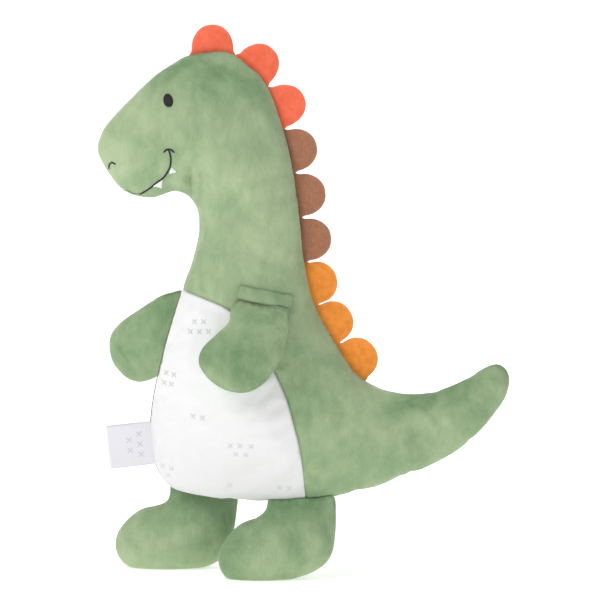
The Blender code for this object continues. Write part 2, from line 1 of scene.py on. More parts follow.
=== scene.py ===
"""Looks of a stuffed long-necked dinosaur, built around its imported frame.

Every stuffed piece starts as a flat sewn outline. It is puffed up, pressed out by a cloth
simulation with its seams held, and subdivided. Side views are in millimetres at the
outline's own scale and are fitted to the frame's boxes.
"""
import json
import math

import bmesh
import bpy
import numpy as np
from bpy.props import FloatProperty, FloatVectorProperty, PointerProperty
from mathutils import Matrix, Vector, noise
from mathutils.bvhtree import BVHTree
from mathutils.geometry import delaunay_2d_cdt
from mathutils.kdtree import KDTree


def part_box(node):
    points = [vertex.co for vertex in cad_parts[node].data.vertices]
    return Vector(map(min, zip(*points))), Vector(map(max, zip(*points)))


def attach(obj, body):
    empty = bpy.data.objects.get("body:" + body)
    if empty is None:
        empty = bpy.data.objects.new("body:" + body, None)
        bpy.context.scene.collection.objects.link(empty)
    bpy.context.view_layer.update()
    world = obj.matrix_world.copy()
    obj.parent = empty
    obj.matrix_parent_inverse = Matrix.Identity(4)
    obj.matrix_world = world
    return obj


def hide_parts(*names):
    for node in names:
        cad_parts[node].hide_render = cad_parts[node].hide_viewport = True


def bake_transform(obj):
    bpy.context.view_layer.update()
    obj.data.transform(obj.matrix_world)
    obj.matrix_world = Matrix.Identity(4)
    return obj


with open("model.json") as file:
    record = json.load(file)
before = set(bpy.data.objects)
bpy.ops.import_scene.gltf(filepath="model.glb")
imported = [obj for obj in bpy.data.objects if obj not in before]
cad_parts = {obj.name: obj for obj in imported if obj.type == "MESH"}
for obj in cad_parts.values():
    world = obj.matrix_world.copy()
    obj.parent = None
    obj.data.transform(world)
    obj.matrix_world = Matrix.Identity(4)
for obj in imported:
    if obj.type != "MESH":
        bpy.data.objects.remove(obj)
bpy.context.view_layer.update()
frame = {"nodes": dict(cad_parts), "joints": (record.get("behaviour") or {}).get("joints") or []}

bl_info = {
    "name": "Stuffed dinosaur looks",
    "version": (1, 0, 0),
    "blender": (4, 5, 0),
    "location": "3D View > Sidebar > Toy",
    "description": "Builds the visible cloth, embroidery and stage of a stuffed dinosaur",
    "category": "Object",
}

JOINTS = {joint["name"]: joint for joint in frame["joints"]}
SIDES = ((-1, "left"), (1, "right"))

BODY_OUTLINE = [
    (-66, 301.7), (-83.8, 291.2), (-103, 273.4), (-116.4, 258.1), (-119, 247.6),
    (-112.6, 234.2), (-103, 224.1), (-88.6, 220.6), (-73.3, 224.1), (-63.7, 216.9),
    (-61.6, 204), (-65.5, 184.5), (-70.6, 168.3), (-79.6, 139.7), (-86, 111.5),
    (-89, 88), (-85, 64), (-77.4, 54), (-53.3, 49.5), (-22.6, 47.2), (1, 47.2),
    (18.1, 50), (44.9, 56.3), (80.3, 70.6), (95.8, 80.6), (109, 95), (116.8, 106),
    (119, 115.9), (116.8, 121.5), (112.3, 124.2), (106.9, 123.1), (84.7, 111.5),
    (60.4, 107.1), (35, 115.4), (19.5, 135.8), (6.3, 159), (0.2, 184), (-3.4, 216),
    (-9.1, 248.5), (-22.5, 285.8), (-31.1, 295.4), (-45.5, 303.9),
]
BELLY_SEAM_START = (-71.6, 165)
BELLY_SEAM = [
    (-70.6, 168.3), (-57, 164.5), (-43.2, 158.6), (-28, 143), (-17.3, 123.7), (-10.8, 109.6),
    (-6.6, 95.4), (-2.5, 78.4), (-0.2, 63.2), (1.2, 47.2),
]
TAIL_CUT = ((27, 124), (34, 53))
CREASES = [  # line in the side view, depth and width in mm
    ([(-67.2, 221), (-66.3, 229), (-65.3, 235), (-63.4, 243)], 3.4, 2.7),
    ([(-68.5, 223), (-75, 226.5), (-82, 227)], 1.1, 3.2),
    ([(70, 102), (73.5, 97.5), (78, 91.5)], 1.5, 2.0),
    ([(56, 104), (57, 97), (58, 91)], 0.6, 3.0),
    ([(-58, 204), (-50, 199), (-40, 197)], 0.7, 5.0),
    ([(8, 62), (20, 66), (34, 68)], 0.6, 4.0),
]
CREST_PITCH = 0.02585
CREST_HEIGHTS = {"coral": 0.0178, "brown": 0.0165, "orange": 0.0155}
CREST_FOOT = 0.0022
ARM_HALF_THICKNESS, LEG_HALF_THICKNESS = 0.0084, 0.0170
TAB_HALF_LENGTH, TAB_HEIGHT = 0.0156, 0.0078
SOLE_PRESS = 0.0036
SHADE_REACH = 0.006  # how far from a seam the pile is shaded
LABEL_WIDTH, LABEL_REACH = 0.025, 0.026
LABEL_PRINT = ((0.0075, -0.006), (0.0075, 0.0), (0.0075, 0.006), (0.0135, -0.003), (0.0135, 0.003))
VIEW_AIM, VIEW_SPAN, VIEW_DISTANCE, VIEW_RISE = (-0.0027, 0, 0.160), 0.3466, 2.6, math.radians(7)
SIMULATION = {
    "quality": 6, "mass": 0.02, "tension_stiffness": 18, "compression_stiffness": 12,
    "shear_stiffness": 8, "bending_stiffness": 0.08, "air_damping": 3, "use_pressure": True,
    "uniform_pressure_force": 4.0, "shrink_min": -0.03, "vertex_group_mass": "seams",
}
CREST_START = (-66.1, 301.7)
ARM_OUTLINE = [
    (-14.9, 0), (-17.4, -7.2), (-17.4, -14.3), (-22.9, -24.2), (-28.7, -35.1), (-28.1, -43.1),
    (-19.7, -51), (-7.3, -54.6), (2.5, -52.6), (10.5, -45.2), (16, -30), (17, -13.8),
    (14.9, 0), (0, 0.6),
]
RAISED_ARM_OUTLINE = [
    (-14.9, 0), (-20.5, -9), (-23.4, -32), (-23.8, -48), (-21.5, -55.5), (-17, -60.5),
    (-8.4, -65.4), (1.6, -65.6), (9.3, -61.8), (12.6, -55.8), (15, -44), (15.6, -22),
    (14.9, 0), (0, 0.6),
]
LEG_OUTLINE = [
    (-22.8, 41), (-26, 38.2), (-37.5, 33.6), (-46.8, 24.5), (-50, 17), (-48.5, 8.5),
    (-43.5, 2.6), (-34.4, 0.2), (-22.7, 0.6), (-9, 3.6), (3.7, 7.6), (11.8, 12.5), (16.1, 19.8),
    (17.5, 29), (17.9, 38),
]
LEG_TOP = (17.2, 7, -3, -13, -20.5)
SOLE_MIDDLE_X = -17.0
EYE_PLACE, EYE_SIZE, EYE_TURN = (-77.9, 277.5), (5.6, 7.4), 12.0
MOUTH_LINE = [
    (-77.3, 249), (-76.5, 245.5), (-77, 240), (-79, 236), (-81.4, 232.9),
    (-84.5, 230.7), (-87.8, 227.8), (-91.1, 225.3), (-94.4, 223.3),
]
LIP_LINE = [(-94.4, 223.3), (-98.2, 223.2), (-101.8, 225.1)]
CHEEK_LINE = [(-80.1, 248.9), (-78.9, 249.9), (-77.4, 250.1), (-75.9, 249.7), (-75, 248.8)]
NOSTRIL_LINE = [(-112.5, 238.2), (-111.9, 240.4), (-110.6, 241.5), (-109, 240.8)]
FRONT_TOOTH = [(-87.2, 228.3), (-81.4, 232.6), (-82.1, 226.9)]
BACK_TOOTH = [(-77.8, 235.6), (-76.4, 239.7), (-73.1, 237)]
PRINT_PLACES = [
    (-63.2, 151.6), (-57.9, 152.1), (-65.6, 145.9), (-60.3, 146.3), (-55.0, 146.7),
    (-79.8, 121.4), (-75.2, 120.9), (-80.9, 115.6), (-76.6, 115.4), (-64.1, 98.2),
    (-58.7, 97.4), (-42.6, 81.7), (-37.0, 81.6), (-30.5, 81.3), (-39.5, 76.6),
    (-33.7, 76.4), (-82.1, 66.9), (-76.9, 66.3), (-79.0, 61.8), (-43.0, 57.3),
    (-14.3, 56.2), (-8.7, 55.7),
]


def from_screen(red, green, blue):
    """A colour from 0-255 screen values, as linear light."""
    shares = [value / 255 for value in (red, green, blue)]
    return tuple(s / 12.92 if s <= 0.04045 else ((s + 0.055) / 1.055) ** 2.4 for s in shares)


def length(name, default, description):
    return FloatProperty(
        name=name, description=description, default=default, min=0, unit="LENGTH",
        subtype="DISTANCE", precision=5,
    )


def colour(name, default, description):
    return FloatVectorProperty(
        name=name, description=description, default=from_screen(*default), size=3, min=0,
        max=1, subtype="COLOR",
    )


class ToySizes(bpy.types.PropertyGroup):
    """Sizes of the sewn pieces."""

    cloth_step: length("Cloth spacing", 0.003, "Spacing of the cloth's points before subdivision")
    seam_half: length("Seam half width", 0.0009, "Half the width of the valley along a seam")
    seam_depth: length("Seam depth", 0.0009, "How far a seam is drawn in by its stitches")
    clump: length("Pile clumps", 0.00022, "Height of the uneven pile")
    swell: length("Swell limit", 0.0022, "The most that the simulation may move a point")
    crest_half: length("Crest half thickness", 0.0023, "Seam plane to the face of a crest scale")
    crest_tuck: length("Crest tuck", 0.0030, "How far a crest scale reaches into the seam")
    thread: length("Thread radius", 0.00030, "Radius of the embroidery thread")
    print_size: length("Print size", 0.0031, "Width of one printed cross")
    underside: length("Underside", 0.0050, "How much the underside is flattened above the legs")
    ribbon: length("Ribbon thickness", 0.00032, "Thickness of the label's ribbon")


class ToyColours(bpy.types.PropertyGroup):
    """Colours of the cloths and threads."""

    # The two greens end one tone ramp. Random pile clouds set part of it, and painted light and
    # shade set the rest.
    green_dark: colour("Green, pile away", (108, 142, 102), "Green pile that leans away")
    green_light: colour("Green, pile towards", (178, 195, 156), "Green pile that leans to the light")
    white: colour("White plush", (246, 246, 246), "The belly's cloth")
    printed: colour("Print", (200, 201, 206), "The belly's printed crosses")
    coral: colour("Coral", (250, 112, 80), "The upper crest scales")
    brown: colour("Brown", (168, 115, 88), "The middle crest scales")
    orange: colour("Orange", (244, 148, 58), "The lower crest scales")
    black: colour("Black thread", (14, 15, 17), "Eyes, mouth and nostrils")
    teeth: colour("White thread", (247, 248, 247), "Teeth")
    ribbon: colour("Ribbon", (232, 231, 237), "The label")


# ---------------------------------------------------------------- outlines and pouches


def spline(points, step, closed=True):
    """A smooth curve through the points, as points about one step apart."""
    p = np.array(points, float)
    count = len(p) if closed else len(p) - 1
    if not closed:
        p = np.vstack([2 * p[0] - p[1], p, 2 * p[-1] - p[-2]])
    fine = []
    for i in range(count):
        if closed:
            a, b, c, d = (p[(i + k) % len(p)] for k in (-1, 0, 1, 2))
        else:
            a, b, c, d = p[i : i + 4]
        k = np.cumsum([0] + [np.linalg.norm(q - r) ** 0.5 for q, r in ((b, a), (c, b), (d, c))])
        for t in np.linspace(k[1], k[2], 12, endpoint=False):
            ab = a + (b - a) * (t - k[0]) / (k[1] - k[0])
            bc = b + (c - b) * (t - k[1]) / (k[2] - k[1])
            cd = c + (d - c) * (t - k[2]) / (k[3] - k[2])
            first = ab + (bc - ab) * (t - k[0]) / (k[2] - k[0])
            last = bc + (cd - bc) * (t - k[1]) / (k[3] - k[1])
            fine.append(first + (last - first) * (t - k[1]) / (k[2] - k[1]))
    fine.append(fine[0] if closed else p[-2])
    return resample(np.array(fine), step, closed)


def resample(line, step, closed):
    along = np.concatenate([[0], np.cumsum(np.linalg.norm(np.diff(line, axis=0), axis=1))])
    count = max(3, round(along[-1] / step))
    at = np.linspace(0, along[-1], count + 1)
    at = at[:-1] if closed else at
    return np.stack([np.interp(at, along, line[:, k]) for k in range(line.shape[1])], axis=1)


def to_line(points, line, closed=True):
    """How far each point is from a line."""
    a = line if closed else line[:-1]
    b = np.roll(line, -1, axis=0) if closed else line[1:]
    d = b - a
    away = points[:, None] - a
    t = np.clip((away * d).sum(2) / np.maximum((d * d).sum(1), 1e-18), 0, 1)
    return np.linalg.norm(away - t[..., None] * d, axis=2).min(1)


def inside(points, loop):
    x, z = points[:, 0][:, None], points[:, 1][:, None]
    a, b = loop, np.roll(loop, -1, axis=0)
    crosses = (a[:, 1] > z) != (b[:, 1] > z)
    rise = np.where(b[:, 1] == a[:, 1], 1, b[:, 1] - a[:, 1])
    return (crosses & (x < (b[:, 0] - a[:, 0]) * (z - a[:, 1]) / rise + a[:, 0])).sum(1) % 2 == 1


def shifted(line, distance):
    """A line moved sideways to its left."""
    turn = np.gradient(line, axis=0)
    turn /= np.linalg.norm(turn, axis=1)[:, None]
    return line + np.stack([-turn[:, 1], turn[:, 0]], axis=1) * distance


def inwards_of(loop):
    """The direction to the inside at each point of a closed loop."""
    turn = np.roll(loop, -1, axis=0) - np.roll(loop, 1, axis=0)
    turn /= np.linalg.norm(turn, axis=1)[:, None]
    inwards = np.stack([-turn[:, 1], turn[:, 0]], axis=1)
    return inwards if inside(loop[:1] + inwards[:1] * 1e-4, loop)[0] else -inwards


def ring(loop, depth):
    """The loop moved inwards, where it stays clear of itself."""
    moved = loop + inwards_of(loop) * depth
    return moved[inside(moved, loop) & (to_line(moved, loop) > 0.9 * depth)]


def across(loop, line, clear):
    """A line's points inside the loop, ended on the loop's nearest points, as indices and points."""
    ends = [int(np.argmin(np.linalg.norm(loop - p, axis=1))) for p in (line[0], line[-1])]
    middle = line[inside(line, loop)]
    middle = middle[to_line(middle, loop) > clear]
    return ends, middle


def flat_mesh(loop, step, rings=(), cuts=()):
    """Points and triangles of a region. cuts are lines that its edges follow, each with the
    distance of a row of points on either side, or 0."""
    low, high = loop.min(0), loop.max(0)
    lattice = np.array([
        (x + (step / 2 if i % 2 else 0), z)
        for i, z in enumerate(np.arange(low[1], high[1], step * 0.866))
        for x in np.arange(low[0], high[0], step)
    ])
    lattice = lattice[inside(lattice, loop)]
    lattice = lattice[to_line(lattice, loop) > 0.6 * step + (rings[-1] if rings else 0)]
    others = np.vstack([ring(loop, depth) for depth in rings] + [lattice])
    edges = [(i, (i + 1) % len(loop)) for i in range(len(loop))]
    points, lines = [loop], []
    for line, beside in cuts:
        count = sum(map(len, points))
        ends, middle = across(loop, line, 0.4 * step)
        chain = [ends[0], *range(count, count + len(middle)), ends[1]]
        edges += list(zip(chain[:-1], chain[1:]))
        lines.append(np.vstack([loop[ends[0]], middle, loop[ends[1]]]))
        points.append(middle)
        for distance in (beside, -beside) if beside else ():
            row = shifted(line, distance)
            row = row[inside(row, loop)]
            row = row[to_line(row, loop) > 0.5 * step]
            others = others[to_line(others, row, False) > 0.35 * step]
            points.append(row)
        others = others[to_line(others, lines[-1], False) > 0.45 * step]
    points = np.vstack(points + [others])
    found = delaunay_2d_cdt([Vector(p) for p in points], edges, [], 1, 1e-7)
    return np.array([tuple(p) for p in found[0]]), np.array(found[2]), len(loop), lines


def membrane(points, faces, rim):
    """The height of a membrane under even pressure, held at its rim."""
    corner = points[faces]
    edge = np.roll(corner, -1, axis=1) - np.roll(corner, 1, axis=1)
    area = np.abs(edge[:, 0, 0] * edge[:, 1, 1] - edge[:, 0, 1] * edge[:, 1, 0]) / 2
    area = np.maximum(area, 1e-12)
    rows, columns, shares = [], [], []
    load = np.zeros(len(points))
    for i in range(3):
        np.add.at(load, faces[:, i], area / 3)
        for j in range(3):
            rows.append(faces[:, i])
            columns.append(faces[:, j])
            shares.append((edge[:, i] * edge[:, j]).sum(1) / (4 * area))
    rows, columns, shares = map(np.concatenate, (rows, columns, shares))
    free = np.ones(len(points))
    free[:rim] = 0
    spread = np.bincount(rows, shares * (rows == columns), len(points))
    spread = 1 / np.maximum(spread, 1e-12)

    def apply(v):
        return free * np.bincount(rows, shares * v[columns], len(points))

    w = np.zeros(len(points))
    left = free * load
    aim = spread * left
    size = left @ aim
    for _ in range(1500):
        along = apply(aim)
        pace = size / (aim @ along)
        w += pace * aim
        left -= pace * along
        near = spread * left
        again = left @ near
        if again < 1e-14 * abs(load @ load):
            break
        aim = near + aim * again / size
        size = again
    return np.maximum(w, 0)


class Pouch:
    """Two cloth panels sewn round one outline and puffed up between their seams."""

    def __init__(self, loop, half, step, seam, rings=(0.0009, 0.0026), taper=None, cuts=()):
        self.flat, self.faces, self.rim, self.lines = flat_mesh(loop, step, rings, cuts)
        w = membrane(self.flat, self.faces, self.rim)
        w *= max(half**2 - seam**2, 0) / w.max()
        if taper:
            w *= np.array([taper(x, z) for x, z in self.flat]) ** 2
        self.y = np.sqrt(w + seam**2)
        self.loop = loop

    def solid(self, depth):
        """Points, faces and pinned points of the closed pouch. Its left side is -Y."""
        flat, rim, count = self.flat, self.rim, len(self.flat)
        drawn = self.loop + inwards_of(self.loop) * depth
        points = np.vstack([
            np.stack([at[:, 0], y, at[:, 1]], axis=1)
            for at, y in ((flat, -self.y), (flat, self.y), (drawn, np.zeros(rim)))
        ])
        shape = [(tuple(f), -1) for f in self.faces]
        shape += [(tuple(int(i) + count for i in f[::-1]), 1) for f in self.faces]
        for i in range(rim):
            j = (i + 1) % rim
            m, n = 2 * count + i, 2 * count + j
            shape += [((i, m, n, j), -1), ((count + i, count + j, n, m), 1)]
        return points, shape, list(range(2 * count, 2 * count + rim))


def raw_mesh(name, points, faces, regions=None):
    mesh = bpy.data.meshes.new(name)
    mesh.from_pydata([tuple(p) for p in points], [], [tuple(map(int, f)) for f in faces])
    if regions is not None:
        mesh.polygons.foreach_set("material_index", regions)
    shape = bmesh.new()
    shape.from_mesh(mesh)
    bmesh.ops.recalc_face_normals(shape, faces=shape.faces)
    if shape.calc_volume(signed=True) < 0:
        bmesh.ops.reverse_faces(shape, faces=shape.faces)
    shape.to_mesh(mesh)
    shape.free()
    mesh.shade_smooth()
    return mesh


def linked(name, mesh):
    obj = bpy.data.objects.new(name, mesh)
    bpy.context.scene.collection.objects.link(obj)
    return obj


def places(mesh, word="co"):
    """Each point's place, or its normal."""
    flat = np.empty(len(mesh.vertices) * 3)
    mesh.vertices.foreach_get(word, flat)
    return flat.reshape(-1, 3)


def put(mesh, points):
    mesh.vertices.foreach_set("co", np.asarray(points, float).ravel())
    mesh.update()


def evaluated(obj):
    """The object's mesh with its modifiers applied, as a new mesh."""
    bpy.context.view_layer.update()
    graph = bpy.context.evaluated_depsgraph_get()
    return bpy.data.meshes.new_from_object(obj.evaluated_get(graph), depsgraph=graph)


def inflate(obj, pinned, limit, frames=20):
    """Presses a pouch out with a cloth simulation, its seams held, and keeps the result."""
    before = places(obj.data)
    group = obj.vertex_groups.new(name="seams")
    group.add([int(i) for i in pinned], 1.0, "REPLACE")
    cloth = obj.modifiers.new("Cloth", "CLOTH")
    for key, value in SIMULATION.items():
        setattr(cloth.settings, key, value)
    cloth.settings.effector_weights.gravity = 0
    cloth.collision_settings.use_collision = False
    cloth.point_cache.frame_start, cloth.point_cache.frame_end = 1, frames
    scene = bpy.context.scene
    for number in range(1, frames + 1):
        scene.frame_set(number)
    after = places(obj.evaluated_get(bpy.context.evaluated_depsgraph_get()).data)
    obj.modifiers.remove(cloth)
    obj.vertex_groups.remove(group)
    scene.frame_set(1)
    move = after - before
    size = np.linalg.norm(move, axis=1)
    if not np.isfinite(size).all():
        raise RuntimeError(f"the simulation of {obj.name} broke down")
    share = limit * np.tanh(size / limit) / np.maximum(size, 1e-12)
    put(obj.data, before + move * share[:, None])


def subdivide(obj):
    """The object's mesh subdivided once."""
    finer = obj.modifiers.new("Subdivision", "SUBSURF")
    finer.levels = finer.render_levels = 1
    mesh = evaluated(obj)
    obj.modifiers.remove(finer)
    return mesh


def outward(mesh):
    return places(mesh, "normal")


def softened(name, points, shape, rim, held=(), limit=0.0, frames=20):
    """A pouch's cloth, pressed out as far as the limit and subdivided, and its seam line."""
    obj = linked(name + "_blank", raw_mesh(name, points, [f for f, _ in shape]))
    if limit:
        inflate(obj, sorted({*rim, *held}), limit, frames)
    seams = dense(places(obj.data)[rim], True)
    finer = subdivide(obj)
    bpy.data.objects.remove(obj)
    return finer, seams


def clumps(points, normals, height, coarse=0.0075, fine=0.0028):
    """The points with the uneven height of brushed pile."""
    parts = ((0.62, coarse), (0.38, fine))
    rise = [sum(share * noise.noise(Vector(p) / size) for share, size in parts) for p in points]
    return points + normals * (np.array(rise) * height)[:, None]


def seam_distance(points, seams, reach):
    """0 at the seams, rising to 1 at the reach."""
    tree = KDTree(len(seams))
    for i, p in enumerate(seams):
        tree.insert(p, i)
    tree.balance()
    away = np.array([tree.find(p)[2] for p in points])
    return np.clip(away / reach, 0, 1)


def piece_of(name, mesh, keep, normals, finish, near):
    """One piece from the faces that keep marks, with the whole cloth's normals."""
    faces = [tuple(p.vertices) for p, k in zip(mesh.polygons, keep) if k]
    used = sorted({i for f in faces for i in f})
    place = {old: new for new, old in enumerate(used)}
    part = bpy.data.meshes.new(name)
    faces = [tuple(place[i] for i in f) for f in faces]
    part.from_pydata([tuple(p) for p in places(mesh)[used]], [], faces)
    made = whole_piece(name, part, finish, near_seam=near[used])
    part.normals_split_custom_set_from_vertices([tuple(n) for n in normals[used]])
    return made


def whole_piece(name, mesh, finish, **values):
    """One piece from a whole mesh, with its values for each point."""
    for word, numbers in values.items():
        layer = mesh.attributes.new(word, "FLOAT", "POINT")
        layer.data.foreach_set("value", np.asarray(numbers, np.float32))
    mesh.materials.clear()
    mesh.materials.append(finish_of(finish))
    mesh.shade_smooth()
    return linked(name, mesh)


# ---------------------------------------------------------------- materials


def declare(obj, slot, nodes, carried):
    """Hides the frame's nodes that a piece stands for and parents the piece to the one body that
    carries it; with two bodies and the start and the end of the cloth between them, it only bakes
    the piece's transform. The slot, meant for the piece's finish, is not used."""
    if len(carried) == 1:
        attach(obj, *carried)
    else:
        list(carried)
        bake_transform(obj)
    if nodes:
        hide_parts(*nodes)


def worked(operation, turned=False):
    """A method that adds a Math node. turned puts the other value first."""

    def method(self, *others):
        values = (*others, self) if turned else (self, *others)
        return self.nodes.add("ShaderNodeMath", {"operation": operation}, dict(enumerate(values)))

    return method


class Maths:
    """A node's output socket that can be added, multiplied and so on."""

    def __init__(self, nodes, socket):
        self.nodes, self.socket = nodes, socket

    __add__ = __radd__ = worked("ADD")
    __mul__ = __rmul__ = worked("MULTIPLY")
    __sub__ = worked("SUBTRACT")
    __rsub__ = worked("SUBTRACT", turned=True)
    __abs__ = worked("ABSOLUTE")
    least = worked("MINIMUM")
    most = worked("MAXIMUM")

    def ramp(self, low, high, start=0.0, end=1.0):
        """Eases from start to end as the value goes from low to high."""
        return self.nodes.add(
            "ShaderNodeMapRange", {"interpolation_type": "SMOOTHSTEP"},
            {"Value": self, "From Min": low, "From Max": high, "To Min": start, "To Max": end},
        )


class Finish:
    """A material's nodes, on one Principled shader."""

    def __init__(self, name, **fixed):
        self.material = bpy.data.materials.new(name)
        self.material.use_nodes = True
        self.tree = self.material.node_tree
        self.shader = self.tree.nodes["Principled BSDF"]
        for socket, value in fixed.items():
            self.shader.inputs[socket.replace("_", " ")].default_value = value

    def add(self, kind, settings=None, values=None, output=0):
        """A node of that type: its settings first, then its sockets' values or links."""
        node = self.tree.nodes.new(kind)
        for key, value in (settings or {}).items():
            setattr(node, key, value)
        for key, value in (values or {}).items():
            if isinstance(value, Maths):
                self.tree.links.new(value.socket, node.inputs[key])
            else:
                node.inputs[key].default_value = value
        return Maths(self, node.outputs[output])

    def spot(self, axis=None):
        """The place on the piece, or one part of it."""
        place = self.add("ShaderNodeTexCoord", output="Object")
        return self.part(place, axis) if axis else place

    def part(self, vector, axis):
        return self.add("ShaderNodeSeparateXYZ", values={"Vector": vector}, output=axis)

    def noise(self, scale, detail=2.0, roughness=0.5, distortion=0.0, stretch=None):
        """Noise on the piece. stretch scales its place along X, Y and Z."""
        vector = self.spot()
        if stretch:
            vector = self.add("ShaderNodeMapping", {}, {"Vector": vector, "Scale": stretch})
        return self.add("ShaderNodeTexNoise", {}, {
            "Vector": vector, "Scale": scale, "Detail": detail, "Roughness": roughness,
            "Distortion": distortion,
        })

    def mix(self, share, first, second):
        first, second = (c if isinstance(c, Maths) else (*c[:3], 1) for c in (first, second))
        return self.add(
            "ShaderNodeMix", {"data_type": "RGBA", "clamp_factor": True},
            {0: share, 6: first, 7: second}, output=2,
        )

    def tinted(self, name, reach, most, shade, tone):
        """The shade, turned towards a tone where the named value is under the reach."""
        value = self.add("ShaderNodeAttribute", {"attribute_name": name}, output="Fac")
        return self.mix(value.ramp(0.0, reach, most, 0.0), shade, tone)

    def done(self, shade, height, strength, distance):
        """The material, with its colour and its relief."""
        values = {"Height": height, "Strength": strength, "Distance": distance}
        relief = self.add("ShaderNodeBump", {}, values)
        for socket, value in (("Base Color", shade), ("Normal", relief)):
            self.tree.links.new(value.socket, self.shader.inputs[socket])
        return self.material


def dimmed(tone, share):
    return tuple(c * share for c in tone[:3])


def paler(tone, share, more):
    return tuple(min(1, c * share + more) for c in tone[:3])


def pile_cloth(name, dark, light, patch, lean):
    """Short velour pile: clouds where it leans either way, a fine rib and a loose grain, with
    painted light and shade from lean and painted shade along the seams and in the folds.
    """
    finish = Finish(
        name, Roughness=0.92, Sheen_Weight=0.60, Sheen_Roughness=0.32,
        Sheen_Tint=(0.90, 0.97, 0.84, 1), Specular_IOR_Level=0.12,
    )
    clouds = finish.noise(25, 4.0, 0.55, 0.5)
    tufts = finish.noise(170, 2.0, 0.5, 0.4, (1, 1, 0.55))
    rib = finish.noise(1500, 1.0, stretch=(1, 1, 0.12))
    grain = finish.noise(2300, 2.0, 0.6)
    tone = clouds.ramp(0.28, 0.72) * patch + tufts.ramp(0.25, 0.75) * 0.20
    # lean(finish) adds painted light and shade, darker or lighter by place on the piece.
    tone = tone + (rib - 0.5) * 0.26 + (grain - 0.5) * 0.34 + (0.40 - patch / 2) + lean(finish)
    # Painted shade: the pile darkens towards the seams and into the body's folds.
    shade = finish.tinted("near_seam", 0.45, 0.52, finish.mix(tone, dark, light), dimmed(dark, 0.55))
    return finish.done(shade, grain * 0.6 + rib * 0.4 + tufts * 1.4, 0.45, 0.0006)


def green_painted_shading(finish):
    """Painted light and shade on the green pile: darker at the crown, lighter at the snout and the
    neck, and a painted shadow across the tail's crease.
    """
    across, up = finish.spot("X"), finish.spot("Z")
    crown = up.ramp(0.262, 0.302, 0.0, -0.36)
    snout = across.ramp(-0.112, -0.076, 0.26, 0.0) * up.ramp(0.20, 0.23)
    neck = up.ramp(0.165, 0.20) * up.ramp(0.205, 0.245, 1.0, 0.0) * 0.16
    # Painted shadow in the tail's crease, weaker towards the tip.
    tail = (up - across * 0.30).ramp(0.071, 0.084, 0.03, -0.56) * across.ramp(0.038, 0.066)
    tail = tail * across.ramp(0.088, 0.110, 1.0, 0.3)
    return crown + snout + neck + tail + 0.08


def limb_painted_shading(finish):
    """Painted light and shade on the limbs: lighter low on the feet and at the arms' lower ends,
    darker higher up, with a painted shadow under the belly across the legs' tops.
    """
    up = finish.spot("Z")
    # Painted shadow where the belly overhangs the legs' tops.
    leg_top = up.ramp(0.034, 0.046) * up.ramp(0.058, 0.068, 1.0, 0.0) * -0.16
    return up.ramp(0.0, 0.03, 0.08, -0.08) + leg_top + up.ramp(0.10, 0.14, 0.06, 0.02)


def white_cloth(name, white, printed):
    """White plush with a sparse print of small crosses."""
    finish = Finish(
        name, Roughness=0.95, Sheen_Weight=0.25, Sheen_Roughness=0.4, Specular_IOR_Level=0.1
    )
    grain, tufts = finish.noise(2100, 2.0, 0.6), finish.noise(240)
    base = finish.mix(grain * 0.5 + tufts * 0.5, dimmed(white, 0.93), white)
    place = finish.add("ShaderNodeUVMap", {"uv_map": "print"})
    u, v = finish.part(place, "X"), finish.part(place, "Y")
    fray = (grain - 0.5) * 0.16 + (finish.noise(900, 1.0) - 0.5) * 0.22
    near_arm = abs(u - v).least(abs(u + v)) + fray
    ink = near_arm.ramp(0.04, 0.32, 0.9, 0.0) * abs(u).most(abs(v)).ramp(0.36, 0.56, 1.0, 0.0)
    ink = ink * finish.noise(700, 1.0).ramp(0.2, 0.6, 0.55, 1.0)
    shaded = finish.spot("Z").ramp(0.045, 0.125, 0.50, 0.0)
    shaded = shaded.most(finish.spot("X").ramp(-0.045, -0.005, 0.0, 0.38))
    shade = finish.mix(shaded, finish.mix(ink, base, printed), dimmed(white, 0.72))
    # Painted shade in the seam valleys and folds of the white plush.
    shade = finish.tinted("near_seam", 0.30, 0.55, shade, (0.36, 0.37, 0.34))
    return finish.done(shade, grain * 0.7 + tufts, 0.35, 0.0004)


def felt(name, tone, speckle, depth):
    """A crest scale's cloth, with a painted paler rim (painted light at its thin edge) and a painted
    shade at its root.
    """
    finish = Finish(
        name, Roughness=0.9, Sheen_Weight=0.4, Sheen_Roughness=0.35, Specular_IOR_Level=0.12,
        Sheen_Tint=(1.0, 0.93, 0.88, 1),
    )
    grain, tufts = finish.noise(1900, 2.0, 0.65), finish.noise(260, 2.0, 0.5, 0.3)
    mottle = grain.ramp(0.32, 0.68) * speckle + tufts.ramp(0.3, 0.7) * (1 - speckle)
    shade = finish.mix(mottle, dimmed(tone, 1 - depth), paler(tone, 1 + depth, 0.02))
    # Painted light: paler towards the seam rim.
    shade = finish.tinted("near_seam", 0.75, 0.38, shade, paler(tone, 1.18, 0.05))
    # Painted shade: darker at the root, where the scale meets the body.
    shade = finish.tinted("from_body", 0.6, 0.45, shade, dimmed(tone, 0.62))
    return finish.done(shade, grain + tufts, 0.4, 0.0005)


def thread(name, tone, gloss):
    """Twisted thread."""
    finish = Finish(name, Roughness=gloss, Sheen_Weight=0.15, Specular_IOR_Level=0.35)
    twist = finish.noise(1800, 1.0, stretch=(1, 1, 3))
    shade = finish.mix(twist, dimmed(tone, 0.75), paler(tone, 1.2, 0.01))
    return finish.done(shade, twist, 0.3, 0.0001)


